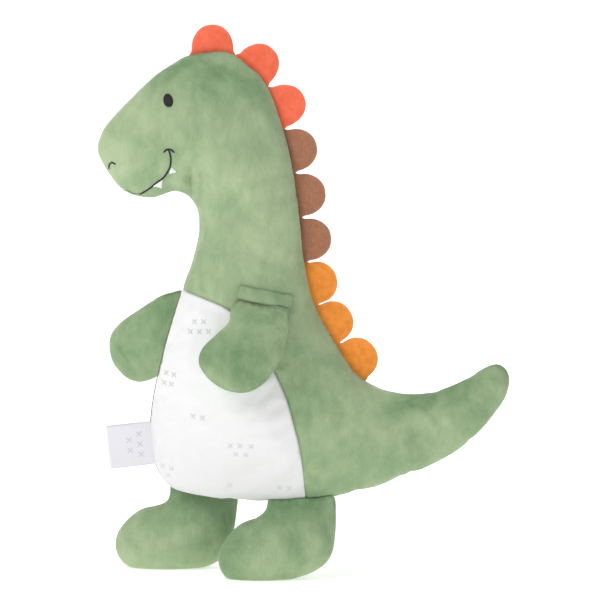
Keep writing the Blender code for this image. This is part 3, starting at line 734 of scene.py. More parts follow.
def ribbon_satin(name, tone, printed):
    """Woven ribbon: fine cross threads, corded edges and a generic print of crosses."""
    finish = Finish(name, Roughness=0.5, Sheen_Weight=0.2, Specular_IOR_Level=0.3)
    place = finish.add("ShaderNodeUVMap", {"uv_map": "ribbon"})
    u, v = finish.part(place, "X"), finish.part(place, "Y")
    threads = finish.add(
        "ShaderNodeTexWave", {"wave_type": "BANDS", "bands_direction": "Y"},
        {"Vector": place, "Scale": 700.0, "Distortion": 0.6, "Detail": 1.0}, output="Fac",
    )
    slub = finish.noise(1400, stretch=(1, 1, 0.2))
    base = finish.mix(threads * 0.4 + slub * 0.6, dimmed(tone, 0.93), tone)
    ink = None
    for x, y in LABEL_PRINT:
        a, b = u - x, v - y
        arm = abs(a - b).least(abs(a + b)).ramp(0.00035, 0.0006, 1.0, 0.0)
        one = arm * abs(a).most(abs(b)).ramp(0.0014, 0.0017, 1.0, 0.0)
        ink = one if ink is None else ink.most(one)
    relief = threads * 0.5 + slub * 0.4 + abs(v).ramp(0.0108, 0.0116) * 1.5
    return finish.done(finish.mix(ink * 0.9, base, printed), relief, 0.35, 0.00012)


def finish_of(name):
    """The named finish, made on its first use."""
    if name in bpy.data.materials:
        return bpy.data.materials[name]
    tones = bpy.context.scene.toy_colours
    green = (pile_cloth, tones.green_dark, tones.green_light)
    maker, *values = {
        "green velour": (*green, 0.50, green_painted_shading),
        "limb velour": (*green, 0.56, limb_painted_shading),
        "white plush": (white_cloth, tones.white, tones.printed),
        "coral plush": (felt, tones.coral, 0.35, 0.10),
        "brown plush": (felt, tones.brown, 0.75, 0.20),
        "orange plush": (felt, tones.orange, 0.35, 0.10),
        "black thread": (thread, tones.black, 0.55),
        "white thread": (thread, tones.teeth, 0.6),
        # Dark grey seam thread: a real thread whose darkness is a painted seam shadow.
        "seam thread": (thread, from_screen(118, 120, 112), 0.7),
        "ribbon satin": (ribbon_satin, tones.ribbon, tones.printed),
    }[name]
    return maker(name, *values)


# ---------------------------------------------------------------- the body


class Fit:
    """Places side-view points in the frame, from the boxes of its body panels."""

    def __init__(self):
        nodes = [n for n in frame["nodes"] if n.endswith(("panel_left", "panel_right"))]
        low = np.min([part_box(n)[0] for n in nodes], axis=0)
        high = np.max([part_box(n)[1] for n in nodes], axis=0)
        nominal = spline(BODY_OUTLINE, 0.5)
        self.low, self.size = nominal.min(0), np.ptp(nominal, axis=0)
        self.start = np.array([low[0], low[2]])
        self.scale = np.array([high[0] - low[0], high[2] - low[2]]) / self.size
        self.half = high[1]

    def points(self, pairs):
        return (np.array(pairs, float) - self.low) * self.scale + self.start


FIT = Fit()
MADE = {}


def surface():
    """The finished body surface, for pieces that are sewn on it."""
    return MADE["tree"]


def on_body(x, z, side):
    """The place and the outward direction of the body's surface at a point of the side view."""
    place, normal, _, _ = surface().ray_cast(Vector((x, side * 0.2, z)), Vector((0, -side, 0)))
    if place is None:
        return surface().find_nearest(Vector((x, side * 0.004, z)))[:2]
    return place, normal if normal.y * side > 0 else -normal


def creased(points, normals):
    """The points with the body's drawn-in folds, and how deep in a fold each one lies."""
    moved = points.copy()
    depths = np.zeros(len(points))
    flat = points[:, [0, 2]]
    side_on = np.clip(np.abs(normals[:, 1]) * 1.6, 0, 1)
    for line, depth, width in CREASES:
        fine = spline(FIT.points(line), 0.001, closed=False)
        every = np.linalg.norm(flat[:, None] - fine, axis=2)
        facing = side_on * (1 - 0.9 * (every.argmin(1) / (len(fine) - 1)) ** 3)
        away = to_line(flat, fine, False) / (width / 1000)
        ridge = np.exp(-(away**2)) - 0.35 * np.exp(-((away - 1.9) ** 2))
        moved -= normals * (ridge * facing * depth / 1000)[:, None]
        depths = np.maximum(depths, np.exp(-(away**2) * 1.5) * facing * min(1, depth / 2))
    return moved, depths


def flattened(points):
    """The body's underside flattened where the legs are sewn on."""
    y, z = np.abs(points[:, 1]) * 1000, points[:, 2] * 1000
    share = np.interp(y, (0, 8, 16, 23, 33), (0, 0.35, 1, 1, 0)) * np.interp(z, (58, 80), (1, 0))
    lowered = points.copy()
    lowered[:, 2] -= share * bpy.context.scene.toy_sizes.underside
    return lowered


def print_layer(mesh, centres, size):
    """A UV map that holds each face's offset from its nearest print, in print widths."""
    flat = places(mesh)[:, [0, 2]]
    layer = mesh.uv_layers.new(name="print")
    corners = np.empty((len(mesh.loops), 2), np.float32)
    for polygon in mesh.polygons:
        spots = flat[list(polygon.vertices)]
        middle = spots.mean(0)
        nearest = centres[np.argmin(((centres - middle) ** 2).sum(1))]
        corners[list(polygon.loop_indices)] = (spots - nearest) / size
    layer.data.foreach_set("uv", corners.ravel())


def build_body_cloth():
    """Sews, puffs up and divides the cloth of the head, neck, trunk, belly and tail."""
    sizes = bpy.context.scene.toy_sizes
    step, half = sizes.cloth_step, sizes.seam_half
    loop = spline(FIT.points(BODY_OUTLINE), step * 0.85)
    seam = spline(FIT.points(BELLY_SEAM), step * 0.8, closed=False)
    cut = resample(FIT.points(TAIL_CUT), step, closed=False)
    pouch = Pouch(loop, FIT.half, step, half, cuts=((seam, half), (cut, 0)))
    seam, cut = pouch.lines
    sewn, shape, rim = pouch.solid(sizes.seam_depth)
    middles = np.array([np.mean(sewn[list(f)], axis=0)[[0, 2]] for f, _ in shape])
    belly = inside(middles, np.vstack([seam, [(seam[-1][0], -1), (-1, -1), (-1, seam[0][1])]]))
    (ax, az), (bx, bz) = cut[0], cut[-1]
    past = (bx - ax) * (middles[:, 1] - az) - (bz - az) * (middles[:, 0] - ax) > 0
    regions = np.where(belly, 2, np.where(past & (middles[:, 0] > 0), 1, 0))
    regions += np.array([3 if side > 0 else 0 for _, side in shape])
    mesh = raw_mesh("body_cloth", sewn, [f for f, _ in shape], regions.astype(np.int32))
    obj = linked("body_cloth", mesh)
    on_seam = np.flatnonzero(to_line(sewn[:, [0, 2]], seam, False) < 1e-5)
    sewn[on_seam] -= outward(mesh)[on_seam] * sizes.seam_depth * 0.8
    put(mesh, sewn)
    inflate(obj, sorted({*rim, *map(int, on_seam)}), sizes.swell)
    finer = subdivide(obj)
    bpy.data.objects.remove(obj)
    points, normals = places(finer), outward(finer)
    points, folds = creased(points, normals)
    put(finer, flattened(clumps(points, normals, sizes.clump)))
    points, normals = places(finer), outward(finer)
    rims = dense(sewn[rim], True)
    bellies = [dense(sewn[chain], False) for chain in seam_chains(sewn, on_seam)]
    # Fold depth lowers these distances, so the painted seam shade also darkens the folds.
    near_rim, near_all = (
        np.minimum(seam_distance(points, lines, SHADE_REACH), 1 - 0.9 * folds)
        for lines in (rims, np.vstack([rims, *bellies]))
    )
    MADE["rim"] = sewn[rim]
    MADE["tree"] = BVHTree.FromPolygons(
        [Vector(p) for p in points], [tuple(p.vertices) for p in finer.polygons]
    )
    index = np.empty(len(finer.polygons), np.int32)
    finer.polygons.foreach_get("material_index", index)
    centres = FIT.points(PRINT_PLACES)
    neck, up = Vector(JOINTS["neck_bend"]["pos_m"]), Vector((0, 0, 1))
    tail = Vector(JOINTS["tail_bend"]["pos_m"])
    away = Vector(JOINTS["tail_bend"]["axis"]).cross(Vector((0, 1, 0)))
    away = away if away.x > 0 else -away
    for first, (_, word) in zip((0, 3), SIDES):
        for region, name, finish, slot, near, panels, fillings, carried in (
            (0, "side_cloth", "green velour", "green_pile", near_all,
             ["head_panel", "side_panel"], ["head_filling", "trunk_filling"],
             ("torso", "head", neck - up * 0.016, neck + up * 0.013)),
            (1, "tail_cloth", "green velour", "green_pile", near_rim,
             ["tail_panel"], ["tail_filling"],
             ("torso", "tail", tail - away * 0.014, tail + away * 0.014)),
            (2, "belly_cloth", "white plush", "white_pile", near_all,
             ["belly_panel"], [], ("torso",)),
        ):
            keep = index == first + region
            made = piece_of(f"{name}_{word}", finer, keep, normals, finish, near)
            if name == "belly_cloth":
                print_layer(made.data, centres, sizes.print_size)
            nodes = [f"{panel}_{word}" for panel in panels] + (fillings if first == 0 else [])
            declare(made, slot, nodes, carried)


def seam_chains(points, picked):
    """The belly seam's points on each side, ordered down the seam."""
    for side in (-1, 1):
        own = [i for i in picked if points[i][1] * side > 0]
        yield np.array(sorted(own, key=lambda i: -points[i][2] + points[i][0]))


def dense(line, closed):
    """The line again, with points close enough to measure from."""
    line = np.vstack([line, line[:1]]) if closed else line
    return resample(line, 0.0006, False)


# ---------------------------------------------------------------- crest


def walk(loop, start, pitch, count):
    """Places along a closed loop whose neighbours are one pitch apart, clockwise from the start."""
    at = int(np.argmin(np.linalg.norm(loop - start, axis=1)))
    order = np.roll(loop, -at, axis=0)
    if order[len(order) // 40][0] < order[0][0]:
        order = np.vstack([order[:1], order[1:][::-1]])
    found = [0]
    for _ in range(count):
        away = np.linalg.norm(order[found[-1] :] - order[found[-1]], axis=1)
        found.append(found[-1] + int(np.argmax(away >= pitch)))
    return order, found


def build_crest_scales():
    """Makes the nine padded scales that are caught in the back seam."""
    sizes = bpy.context.scene.toy_sizes
    loop = spline(FIT.points(BODY_OUTLINE), 0.0004)
    order, ends = walk(loop, FIT.points([CREST_START])[0], CREST_PITCH, 9)
    for i in range(9):
        word = tuple(CREST_HEIGHTS)[i // 3]
        name = f"{word}_scale_{i % 3 + 1}"
        base = order[ends[i] : ends[i + 1] + 1]
        chord = base[-1] - base[0]
        half = np.linalg.norm(chord) / 2
        chord /= 2 * half
        outwards = np.array([-chord[1], chord[0]])
        middle = (base[0] + base[-1]) / 2
        flare = [(half + 0.0004, 0.0), (half + 0.0002, 0.0010)]
        dome = [
            ((half - 0.0008) * math.copysign(abs(math.cos(t)) ** 0.92, math.cos(t)),
             CREST_FOOT + math.sin(t) ** 0.92 * (CREST_HEIGHTS[word] - CREST_FOOT))
            for t in np.linspace(0, math.pi, 26)
        ]
        edge = flare + dome + [(-u, v) for u, v in flare[::-1]]
        arc = [middle + chord * u + outwards * v for u, v in edge]
        tuck = resample(base, 0.0015, closed=False) - outwards * sizes.crest_tuck
        tuck += (middle - outwards * sizes.crest_tuck - tuck) * 0.06
        outline = resample(np.vstack([arc, tuck, arc[:1]]), 0.0014, closed=True)
        pouch = Pouch(outline, sizes.crest_half, 0.0017, 0.0005, rings=(0.0006, 0.0015))
        finer, seams = softened(name + "_cloth", *pouch.solid(0.00035), limit=0.0006, frames=10)
        put(finer, clumps(places(finer), outward(finer), 0.00016, 0.004, 0.0016))
        points = places(finer)
        # near_seam lightens the rim as painted light; from_body darkens the root as painted shade.
        made = whole_piece(
            name + "_cloth", finer, word + " plush", near_seam=seam_distance(points, seams, 0.0035),
            from_body=np.clip(to_line(points[:, [0, 2]], base, False) / 0.006, 0, 1),
        )
        declare(made, word + "_cloth", [name], ["head" if i < 5 else "torso"])


# ---------------------------------------------------------------- arms and legs


def fade(reach, top=0.0):
    """Fullness that grows from the sewn top edge down."""
    def taper(_, z):
        t = min(1, max(0, (top - z) / reach))
        return 0.12 + 0.88 * t * (2 - t)
    return taper


def puckered(points, normals, top, reach=0.011, depth=0.0004, pitch=0.0048):
    """Small gathers below a limb's sewn top edge, in its own space."""
    x, z = points[:, 0], points[:, 2] - top
    near = np.clip(1 + z / reach, 0, 1) ** 1.5 * np.clip(-z / 0.0015, 0, 1)
    wave = np.sin(x / pitch * 2 * math.pi + 1.3 * np.sin(x / 0.011) + points[:, 1] * 120)
    return points + normals * (wave * near * depth)[:, None]


def limb_mesh(name, outline, half, step, seam, rings, reach, top):
    """A limb's subdivided cloth in its own space, with its seam line."""
    sizes = bpy.context.scene.toy_sizes
    pouch = Pouch(outline, half, step, seam, rings, fade(reach, top))
    points, shape, rim = pouch.solid(sizes.seam_depth)
    held = np.flatnonzero(points[:, 2] > top - 0.0006).tolist()
    finer, seams = softened(name, points, shape, rim, held, sizes.swell * 0.7)
    put(finer, puckered(places(finer), outward(finer), top))
    put(finer, clumps(places(finer), outward(finer), sizes.clump))
    return finer, seams


def moved_points(points, move):
    return np.array([move @ Vector(p) for p in points])


def finished_limb(name, finer, seams, start, end):
    """A limb's piece, with painted shade near its seams, its transform baked and its nodes in the
    frame hidden.
    """
    near = seam_distance(places(finer), seams, 0.005)
    made = whole_piece(f"{name}_cloth", finer, "limb velour", near_seam=near)
    nodes = [f"{name}_{part}" for part in ("outer", "inner", "filling")]
    declare(made, "green_pile", nodes, ("torso", name, start, end))


def build_arm(word, side):
    """An arm that hangs as far outwards as its panel in the frame, and its tab."""
    joint = JOINTS[f"{word}_arm_lift"]
    hinge, along = Vector(joint["pos_m"]), Vector(joint["axis"])
    along = along if along.x > 0 else -along
    turn = Matrix.Rotation(math.atan2(-along.z, along.x), 4, "Y")
    shape = {"left": ARM_OUTLINE, "right": RAISED_ARM_OUTLINE}[word]
    finer, seams = limb_mesh(
        f"{word}_arm_cloth", spline(np.array(shape) / 1000, 0.0026), ARM_HALF_THICKNESS,
        0.0029, 0.0007, (0.0008, 0.0022), 0.020, 0.0,
    )
    reach = max(abs(corner.y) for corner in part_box(f"{word}_arm_outer"))
    low, high = 0.0, math.radians(80)
    points = places(finer)
    for _ in range(24):
        tilt = (low + high) / 2
        move = Matrix.Translation(hinge) @ turn @ Matrix.Rotation(side * tilt, 4, "X")
        most = np.abs(points @ np.array(move.to_3x3())[1] + hinge.y).max()
        low, high = (low, tilt) if most > reach + 0.0004 else (tilt, high)
    finer.transform(move)
    down = (move.to_3x3() @ Vector((0, 0, -1))).normalized()
    seams = moved_points(seams, move)
    finished_limb(f"{word}_arm", finer, seams, hinge - down * 0.0005, hinge + down * 0.006)
    build_tab(word, side, hinge, turn)


def build_tab(word, side, hinge, turn):
    """The flat sewn strip that an arm hangs from, laid on the body."""
    half, tall = TAB_HALF_LENGTH, TAB_HEIGHT
    corners = [
        (-half, -0.0002), (half, -0.0002), (half + 0.0004, tall), (-half - 0.0002, tall),
        (-half, -0.0002),
    ]
    outline = resample(np.array(corners), 0.0012, closed=True)
    points, shape, rim = Pouch(outline, 0.0013, 0.0013, 0.0004, rings=(0.0005,)).solid(0.0002)
    rows = (0.0012, tall - 0.0012)
    points[:, 1] *= 1 - 0.45 * sum(np.exp(-((points[:, 2] - z) / 0.0007) ** 2) for z in rows)
    laid = []
    for u, y, v in points:
        r = turn @ Vector((u, 0, v))
        spot, out = on_body(hinge.x + r.x, hinge.z + r.z, side)
        laid.append(spot + out * (0.0012 + 0.0021 * max(0, 1 - v / tall) ** 1.3 + y))
    finer, seams = softened(f"{word}_tab_cloth", laid, shape, rim)
    put(finer, clumps(places(finer), outward(finer), 0.00025, 0.005, 0.0018))
    near = seam_distance(places(finer), seams, 0.0030)
    tab = whole_piece(f"{word}_tab_cloth", finer, "limb velour", near_seam=near)
    declare(tab, "green_pile", [f"{word}_arm_tab"], ["torso"])


def pressed(points, press, leg_height):
    """The sole flattened on the floor, easing out above it."""
    z = points[:, 2]
    share = np.clip(2 - 2 * z / leg_height, 0, 1)
    z = z - press * share
    soft = 0.0012
    points = points.copy()
    points[:, 2] = np.where(z < soft, soft * np.exp(np.clip(z / soft - 1, -9, 0)), z)
    return points


def build_leg(word, side):
    """A leg whose top edge follows the belly and whose sole lies on the floor."""
    hinge = Vector(JOINTS[f"{word}_leg_splay"]["pos_m"])
    leg_height = FIT.start[1]
    ahead, lean = {"left": (0.0, 0.0), "right": (-0.0630, 8.0)}[word]
    turn = Matrix.Rotation(math.radians(lean), 3, "Y")
    sole = Vector((SOLE_MIDDLE_X / 1000, 0, 0))

    def turned(x, z):
        p = turn @ (Vector((x / 1000, 0, z * leg_height / 0.045 / 1000)) - sole) + sole
        return ahead + p.x, p.z

    points = [turned(x, z) for x, z in LEG_OUTLINE]
    for x in LEG_TOP:
        spot = turned(x, 45)[0]
        drop = 0.0012 * max(0, x / LEG_TOP[0])
        points.append((spot, min(lowest_body(spot, hinge.y), hinge.z + 0.0042) - drop))
    points = [(x - hinge.x, z - hinge.z) for x, z in points]
    top = points[-len(LEG_TOP) // 2][1]
    finer, seams = limb_mesh(
        f"{word}_leg_cloth", spline(points, 0.0027), LEG_HALF_THICKNESS, 0.0030, 0.0008,
        (0.0009, 0.0026), 0.022, top,
    )
    move = Matrix.Translation(hinge)
    finer.transform(move)
    put(finer, pressed(places(finer), SOLE_PRESS, leg_height))
    seams = pressed(moved_points(seams, move), SOLE_PRESS, leg_height)
    up = Vector((0, 0, 1))
    finished_limb(f"{word}_leg", finer, seams, hinge + up * 0.001, hinge - up * 0.008)


def lowest_body(x, y):
    """The height of the body's underside."""
    place = surface().ray_cast(Vector((x, y, 0)), Vector((0, 0, 1)))[0]
    if place is None:
        raise RuntimeError("no body above a leg")
    return place.z


# ---------------------------------------------------------------- embroidery


def tree_with(name, *numbers):
    """A tree that takes guide lines, the named numbers and a finish, its start and its curve."""
    tree = bpy.data.node_groups.new(name, "GeometryNodeTree")
    inputs = [("Geometry", "Geometry"), *((word, "Float") for word in numbers)]
    for word, kind in (*inputs, ("Finish", "Material")):
        tree.interface.new_socket(word, in_out="INPUT", socket_type="NodeSocket" + kind)
    tree.interface.new_socket("Geometry", in_out="OUTPUT", socket_type="NodeSocketGeometry")
    start = node_in(tree, "NodeGroupInput")
    curve = node_in(tree, "GeometryNodeMeshToCurve", Mesh=start.outputs["Geometry"])
    return tree, start.outputs, curve


def node_in(tree, kind, settings=None, **values):
    """A node with its settings, then its values or links. _0 is its first socket."""
    node = tree.nodes.new(kind)
    for key, value in (settings or {}).items():
        setattr(node, key, value)
    for key, value in values.items():
        socket = node.inputs[int(key[1:]) if key[0] == "_" else key.replace("_", " ")]
        if isinstance(value, bpy.types.Node):
            value = value.outputs[0]
        if isinstance(value, bpy.types.NodeSocket):
            tree.links.new(value, socket)
        else:
            socket.default_value = value
    return node


def satin_tree():
    """Threads laid along the given lines, thinner at their ends."""
    tree, given, curve = tree_with("satin threads", "Radius")
    along = node_in(tree, "GeometryNodeSplineParameter")
    ends = node_in(tree, "ShaderNodeMath", {"operation": "PINGPONG"}, _0=along, _1=0.5)
    full = node_in(
        tree, "ShaderNodeMapRange", {"interpolation_type": "SMOOTHSTEP"}, Value=ends,
        From_Max=0.16, To_Min=0.45,
    )
    size = node_in(tree, "ShaderNodeMath", {"operation": "MULTIPLY"}, _0=full, _1=given["Radius"])
    section = node_in(tree, "GeometryNodeCurvePrimitiveCircle", Resolution=7, Radius=1.0)
    tube = node_in(
        tree, "GeometryNodeCurveToMesh", Curve=curve, Profile_Curve=section, Scale=size,
        Fill_Caps=True,
    )
    return ended(tree, given, tube)


def stitch_tree():
    """Slanting stitches along the given lines. The lines carry the direction out of the cloth."""
    tree, given, curve = tree_with("stitched line", "Pitch", "Width", "Radius", "Slant")
    spaced = node_in(
        tree, "GeometryNodeResampleCurve", {"mode": "LENGTH"}, Curve=curve, Length=given["Pitch"]
    )
    ball = node_in(tree, "GeometryNodeMeshUVSphere", Segments=8, Rings=6, Radius=1.0)
    size = node_in(
        tree, "ShaderNodeCombineXYZ", X=given["Width"], Y=given["Radius"], Z=given["Radius"]
    )
    out = node_in(tree, "GeometryNodeInputNamedAttribute", {"data_type": "FLOAT_VECTOR"}, Name="out")
    upright = node_in(tree, "FunctionNodeAlignRotationToVector", {"axis": "Z"}, Vector=out)
    tangent = node_in(tree, "GeometryNodeInputTangent")
    ahead = node_in(
        tree, "FunctionNodeAlignRotationToVector", {"axis": "X", "pivot_axis": "Z"},
        Rotation=upright, Vector=tangent,
    )
    slant = node_in(tree, "ShaderNodeCombineXYZ", Z=given["Slant"])
    turned = node_in(tree, "FunctionNodeEulerToRotation", Euler=slant)
    facing = node_in(
        tree, "FunctionNodeRotateRotation", {"rotation_space": "LOCAL"}, Rotation=ahead,
        Rotate_By=turned,
    )
    sewn = node_in(
        tree, "GeometryNodeInstanceOnPoints", Points=spaced, Instance=ball, Rotation=facing,
        Scale=size,
    )
    return ended(tree, given, sewn)


def ended(tree, given, node):
    """Realises the instances, sets the finish and ends the tree."""
    for kind, more in (
        ("GeometryNodeRealizeInstances", {}), ("GeometryNodeSetShadeSmooth", {}),
        ("GeometryNodeSetMaterial", {"Material": given["Finish"]}), ("NodeGroupOutput", {}),
    ):
        node = node_in(tree, kind, Geometry=node, **more)
    return tree


def from_lines(name, lines, maker, finish, **values):
    """A tree's result on guide lines of (place, outward) pairs, as a plain object."""
    if maker not in MADE:
        MADE[maker] = maker()
    tree = MADE[maker]
    points, edges, outs = [], [], []
    for line in lines:
        edges += [(len(points) + i, len(points) + i + 1) for i in range(len(line) - 1)]
        points += [p for p, _ in line]
        outs += [n for _, n in line]
    mesh = bpy.data.meshes.new(name + "_guide")
    mesh.from_pydata(points, edges, [])
    layer = mesh.attributes.new("out", "FLOAT_VECTOR", "POINT")
    layer.data.foreach_set("vector", np.array(outs, np.float32).ravel())
    guide = linked(name + "_guide", mesh)
    modifier = guide.modifiers.new("Geometry Nodes", "NODES")
    modifier.node_group = tree
    values["Finish"] = finish_of(finish)
    for item in tree.interface.items_tree:
        if item.in_out == "INPUT" and item.name in values:
            modifier[item.identifier] = values[item.name]
    made = evaluated(guide)
    bpy.data.objects.remove(guide)
    made.name = name
    return linked(name, made)


def sewn_line(pairs, side, lift):
    """A side-view line laid on the body's cloth."""
    found = [on_body(x, z, side) for x, z in spline(FIT.points(pairs), 0.0006, closed=False)]
    return [(place + out * lift, out) for place, out in found]


def satin_rows(outline, side, pitch, angle, lift):
    """Parallel threads that fill an outline given in the frame's side view."""
    turn = np.array([[math.cos(angle), math.sin(angle)], [-math.sin(angle), math.cos(angle)]])
    a = outline @ turn.T
    b = np.roll(a, -1, axis=0)
    rows = []
    low, high = a[:, 1].min(), a[:, 1].max()
    for v in np.linspace(low, high, max(2, round((high - low) / pitch)) + 2)[1:-1]:
        hit = (a[:, 1] > v) != (b[:, 1] > v)
        (x0, z0), (x1, z1) = a[hit].T, b[hit].T
        spots = sorted(x0 + (v - z0) / (z1 - z0) * (x1 - x0))
        if len(spots) < 2 or spots[-1] - spots[0] < pitch:
            continue
        row = []
        for t in np.linspace(0, 1, 9):
            x, z = np.array([spots[0] + t * (spots[-1] - spots[0]), v]) @ turn
            place, out = on_body(x, z, side)
            row.append((place + out * (lift + 0.00045 * math.sin(math.pi * t) ** 0.5), out))
        rows.append(row)
    return rows


def build_face(word, side):
    """The embroidery of one side of the head."""
    radius = bpy.context.scene.toy_sizes.thread
    turn = math.radians(EYE_TURN)
    oval = []
    for t in np.linspace(0, 2 * math.pi, 40, endpoint=False):
        x, z = EYE_SIZE[0] / 2 * math.cos(t), EYE_SIZE[1] / 2 * math.sin(t)
        oval.append((EYE_PLACE[0] + x * math.cos(turn) - z * math.sin(turn),
                     EYE_PLACE[1] + x * math.sin(turn) + z * math.cos(turn)))
    eye = from_lines(
        f"eye_threads_{word}", satin_rows(FIT.points(oval), side, 0.00038, 0.15, 0.0001),
        satin_tree, "black thread", Radius=radius,
    )
    declare(eye, "black_thread", [f"eye_{word}"], ["head"])
    for name, lines, lift, pitch, width, thick, slant in (
        ("mouth_threads", [MOUTH_LINE, CHEEK_LINE], 0.00022, 0.00062, 0.0010, 1.35, -0.45),
        ("nostril_threads", [NOSTRIL_LINE], 0.00022, 0.00062, 0.00085, 1.35, -0.45),
        ("lip_thread", [LIP_LINE], 0.0001, 0.0008, 0.0006, 0.7, -0.2),
    ):
        made = from_lines(
            f"{name}_{word}", [sewn_line(line, side, lift) for line in lines], stitch_tree,
            "black thread", Pitch=pitch, Width=width, Radius=radius * thick, Slant=side * slant,
        )
        nodes = [] if name == "lip_thread" else [f"{name.split('_')[0]}_{word}"]
        declare(made, "black_thread", nodes, ["head"])
    for name, corners in (("front_tooth", FRONT_TOOTH), ("back_tooth", BACK_TOOTH)):
        outline = FIT.points(corners)
        outline = resample(np.vstack([outline, outline[:1]]), 0.0006, closed=True)
        tooth = from_lines(
            f"{name}_threads_{word}", satin_rows(outline, side, 0.00042, 1.1, 0.0), satin_tree,
            "white thread", Radius=radius,
        )
        declare(tooth, "white_thread", [f"{name}_{word}"], ["head"])


def build_belly_seam():
    """The thread that closes the belly's front seam, dark grey as a painted shadow of the seam line.
    """
    rim = MADE["rim"]
    low, high = sorted(
        int(np.argmin(np.linalg.norm(rim[:, [0, 2]] - end, axis=1)))
        for end in FIT.points([BELLY_SEAM_START, BELLY_SEAM[-1]])
    )
    chain = rim[low : high + 1]
    if chain[:, 0].max() > 0.02:
        chain = np.vstack([rim[high:], rim[: low + 1]])
    line = resample(chain, 0.0012, closed=False)
    line = np.array([surface().find_nearest(Vector(p))[0] for p in line])
    middle = line[:, [0, 2]].mean(0)
    guide = []
    for p, q in zip(line, np.gradient(line, axis=0)):
        out = Vector((q[2], 0, -q[0])).normalized()
        if out.x * (p[0] - middle[0]) + out.z * (p[2] - middle[1]) < 0:
            out = -out
        guide.append((Vector(p) + out * 0.0010, out))
    seam = from_lines(
        "belly_seam_shadow_thread", [guide], stitch_tree, "seam thread", Pitch=0.0015, Width=0.0009,
        Radius=bpy.context.scene.toy_sizes.thread, Slant=0.0,
    )
    declare(seam, "white_thread", [], ["torso"])


# ---------------------------------------------------------------- label


def build_label_ribbon():
    """A ribbon folded double at its free end, with both cut ends in the front seam."""
    joint = JOINTS["label_fold"]
    up, hinge = Vector(joint["axis"]), Vector(joint["pos_m"])
    up = up if up.z > 0 else -up
    forward = Vector((-up.z, 0, up.x))
    wide, reach = LABEL_WIDTH, LABEL_REACH
    path = []
    for s in np.linspace(-0.0022, reach - 0.0012, 22):
        t = min(1, max(0, s / reach))
        path.append((s, 0.00025 + 0.00055 * math.sin(math.pi * t) ** 2 + 0.0005 * t * t))
    bow = path[-1][1]
    path += [(reach - 0.0012 + math.sin(a) * 0.0012, bow * math.cos(a)) for a in (0.6, 1.1, 1.57)]
    line = path + [(s, -y) for s, y in path[-2::-1]]
    count, rows = len(line), 17
    points, uvs = [], []
    for v in (np.arange(rows) / (rows - 1) - 0.5) * wide:
        for s, y in line:
            curl = 0.0007 * math.sin(v / wide * math.pi * 1.3 + 0.4) * (max(s, 0) / reach) ** 2
            points.append(hinge + forward * s + up * v + Vector((0, y + curl, 0)))
            uvs.append((s, v))
    faces = [
        (j * count + i, j * count + i + 1, (j + 1) * count + i + 1, (j + 1) * count + i)
        for j in range(rows - 1) for i in range(count - 1)
    ]
    mesh = bpy.data.meshes.new("label_ribbon")
    mesh.from_pydata(points, [], faces)
    layer = mesh.uv_layers.new(name="ribbon")
    for loop in mesh.loops:
        layer.data[loop.index].uv = uvs[loop.vertex_index]
    ribbon = whole_piece("label_ribbon", mesh, "ribbon satin")
    wall = ribbon.modifiers.new("Thickness", "SOLIDIFY")
    wall.thickness, wall.offset = bpy.context.scene.toy_sizes.ribbon, 0
    thick = evaluated(ribbon)
    ribbon.modifiers.remove(wall)
    ribbon.data = thick
    carried = ("torso", "label", hinge + forward * 0.001, hinge + forward * 0.009)
    declare(ribbon, "ribbon", ["label"], carried)


# ---------------------------------------------------------------- stage


def area_light(name, place, aim, size, power):
    data = bpy.data.lights.new(name, "AREA")
    data.shape, data.size, data.energy = "DISK", size, power
    lamp = linked(name, data)
    lamp.location = place
    lamp.rotation_euler = (Vector(aim) - Vector(place)).to_track_quat("-Z", "Y").to_euler()


def build_floor_and_lights():
    """A pale floor that curves up behind the toy, and soft light on all sides."""
    finish = Finish(
        "floor", Roughness=1.0, Specular_IOR_Level=0.0, Base_Color=(0.92, 0.92, 0.92, 1),
        Emission_Color=(1, 1, 1, 1), Emission_Strength=0.48,
    )
    side, front, back, rise, bend = 6.0, -6.0, 3.0, 4.0, 0.8
    profile = [(front, 0.0), (back - bend, 0.0)]
    for a in np.linspace(0.1, 1.57, 14):
        profile.append((back - bend + bend * math.sin(a), bend - bend * math.cos(a)))
    profile.append((back, rise))
    points = [(x, y, z) for x in (-side, side) for y, z in profile]
    count = len(profile)
    mesh = bpy.data.meshes.new("floor")
    mesh.from_pydata(points, [], [(i, count + i, count + i + 1, i + 1) for i in range(count - 1)])
    mesh.shade_smooth()
    mesh.materials.append(finish.material)
    linked("floor", mesh)
    world = bpy.data.worlds.new("studio")
    world.use_nodes = True
    background = world.node_tree.nodes["Background"].inputs
    background["Color"].default_value = (1, 1, 1, 1)
    background["Strength"].default_value = 0.40
    scene = bpy.context.scene
    scene.world = world
    scene.view_settings.view_transform = "Standard"
    scene.view_settings.look = "None"
    area_light("key", (-1.1, -1.2, 1.4), (0, 0, 0.15), 0.9, 14.5)
    area_light("fill", (1.3, -1.2, 0.8), (0, 0, 0.15), 1.4, 1.5)
    area_light("top", (0.1, 0.2, 1.8), (0, 0, 0.1), 1.0, 8)


def build_camera():
    """A long lens that looks at the toy's left side from a little above."""
    data = bpy.data.cameras.new("camera")
    data.sensor_width = 36
    data.lens = data.sensor_width * VIEW_DISTANCE / VIEW_SPAN
    data.clip_end = 30
    camera = linked("camera", data)
    away = Vector((0, -math.cos(VIEW_RISE), math.sin(VIEW_RISE)))
    camera.location = Vector(VIEW_AIM) + away * VIEW_DISTANCE
    camera.rotation_euler = (math.pi / 2 - VIEW_RISE, 0, 0)
    bpy.context.scene.camera = camera


# ---------------------------------------------------------------- add-on


class TOY_OT_body(bpy.types.Operator):
    """Build the head, trunk, tail and belly cloth"""

    bl_idname = "toy.body"
    bl_label = "Body cloth"

    def execute(self, context):
        build_body_cloth()
        return {"FINISHED"}


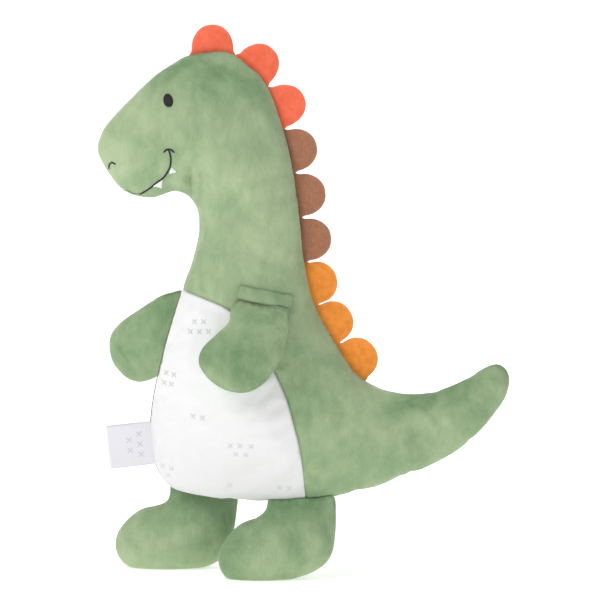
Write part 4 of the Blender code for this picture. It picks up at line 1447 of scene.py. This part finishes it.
class TOY_OT_crest(bpy.types.Operator):
    """Build the padded scales along the back"""

    bl_idname = "toy.crest"
    bl_label = "Crest scales"

    def execute(self, context):
        build_crest_scales()
        return {"FINISHED"}


class TOY_OT_arms(bpy.types.Operator):
    """Build the arms and the tabs that they hang from"""

    bl_idname = "toy.arms"
    bl_label = "Arms"

    def execute(self, context):
        for side, word in SIDES:
            build_arm(word, side)
        return {"FINISHED"}


class TOY_OT_legs(bpy.types.Operator):
    """Build the stuffed legs"""

    bl_idname = "toy.legs"
    bl_label = "Legs"

    def execute(self, context):
        for side, word in SIDES:
            build_leg(word, side)
        return {"FINISHED"}


class TOY_OT_face(bpy.types.Operator):
    """Embroider the eyes, mouth, teeth and nostrils on both sides"""

    bl_idname = "toy.face"
    bl_label = "Face"

    def execute(self, context):
        for side, word in SIDES:
            build_face(word, side)
        build_belly_seam()
        return {"FINISHED"}


class TOY_OT_label(bpy.types.Operator):
    """Fold the ribbon label into the front seam"""

    bl_idname = "toy.label"
    bl_label = "Label"

    def execute(self, context):
        build_label_ribbon()
        return {"FINISHED"}


class TOY_OT_stage(bpy.types.Operator):
    """Set the floor, the lights and the camera"""

    bl_idname = "toy.stage"
    bl_label = "Stage"

    def execute(self, context):
        build_floor_and_lights()
        build_camera()
        return {"FINISHED"}


OPERATORS = (
    TOY_OT_body, TOY_OT_crest, TOY_OT_arms, TOY_OT_legs, TOY_OT_face, TOY_OT_label, TOY_OT_stage,
)


class TOY_PT_panel(bpy.types.Panel):
    """Lists the pieces in the order that they are built"""

    bl_idname = "TOY_PT_panel"
    bl_label = "Stuffed dinosaur"
    bl_space_type = "VIEW_3D"
    bl_region_type = "UI"
    bl_category = "Toy"

    def draw(self, context):
        for operator in OPERATORS:
            self.layout.operator(operator.bl_idname)
        for group in (context.scene.toy_sizes, context.scene.toy_colours):
            box = self.layout.box()
            for name in group.bl_rna.properties.keys():
                if name not in ("rna_type", "name"):
                    box.prop(group, name)


CLASSES = (ToySizes, ToyColours, *OPERATORS, TOY_PT_panel)


def register():
    for item in CLASSES:
        bpy.utils.register_class(item)
    bpy.types.Scene.toy_sizes = PointerProperty(type=ToySizes)
    bpy.types.Scene.toy_colours = PointerProperty(type=ToyColours)


def unregister():
    del bpy.types.Scene.toy_colours
    del bpy.types.Scene.toy_sizes
    for item in reversed(CLASSES):
        bpy.utils.unregister_class(item)


def main():
    register()
    bpy.ops.toy.body()
    bpy.ops.toy.crest()
    bpy.ops.toy.arms()
    bpy.ops.toy.legs()
    bpy.ops.toy.face()
    bpy.ops.toy.label()
    bpy.ops.toy.stage()


if __name__ == "__main__":
    main()
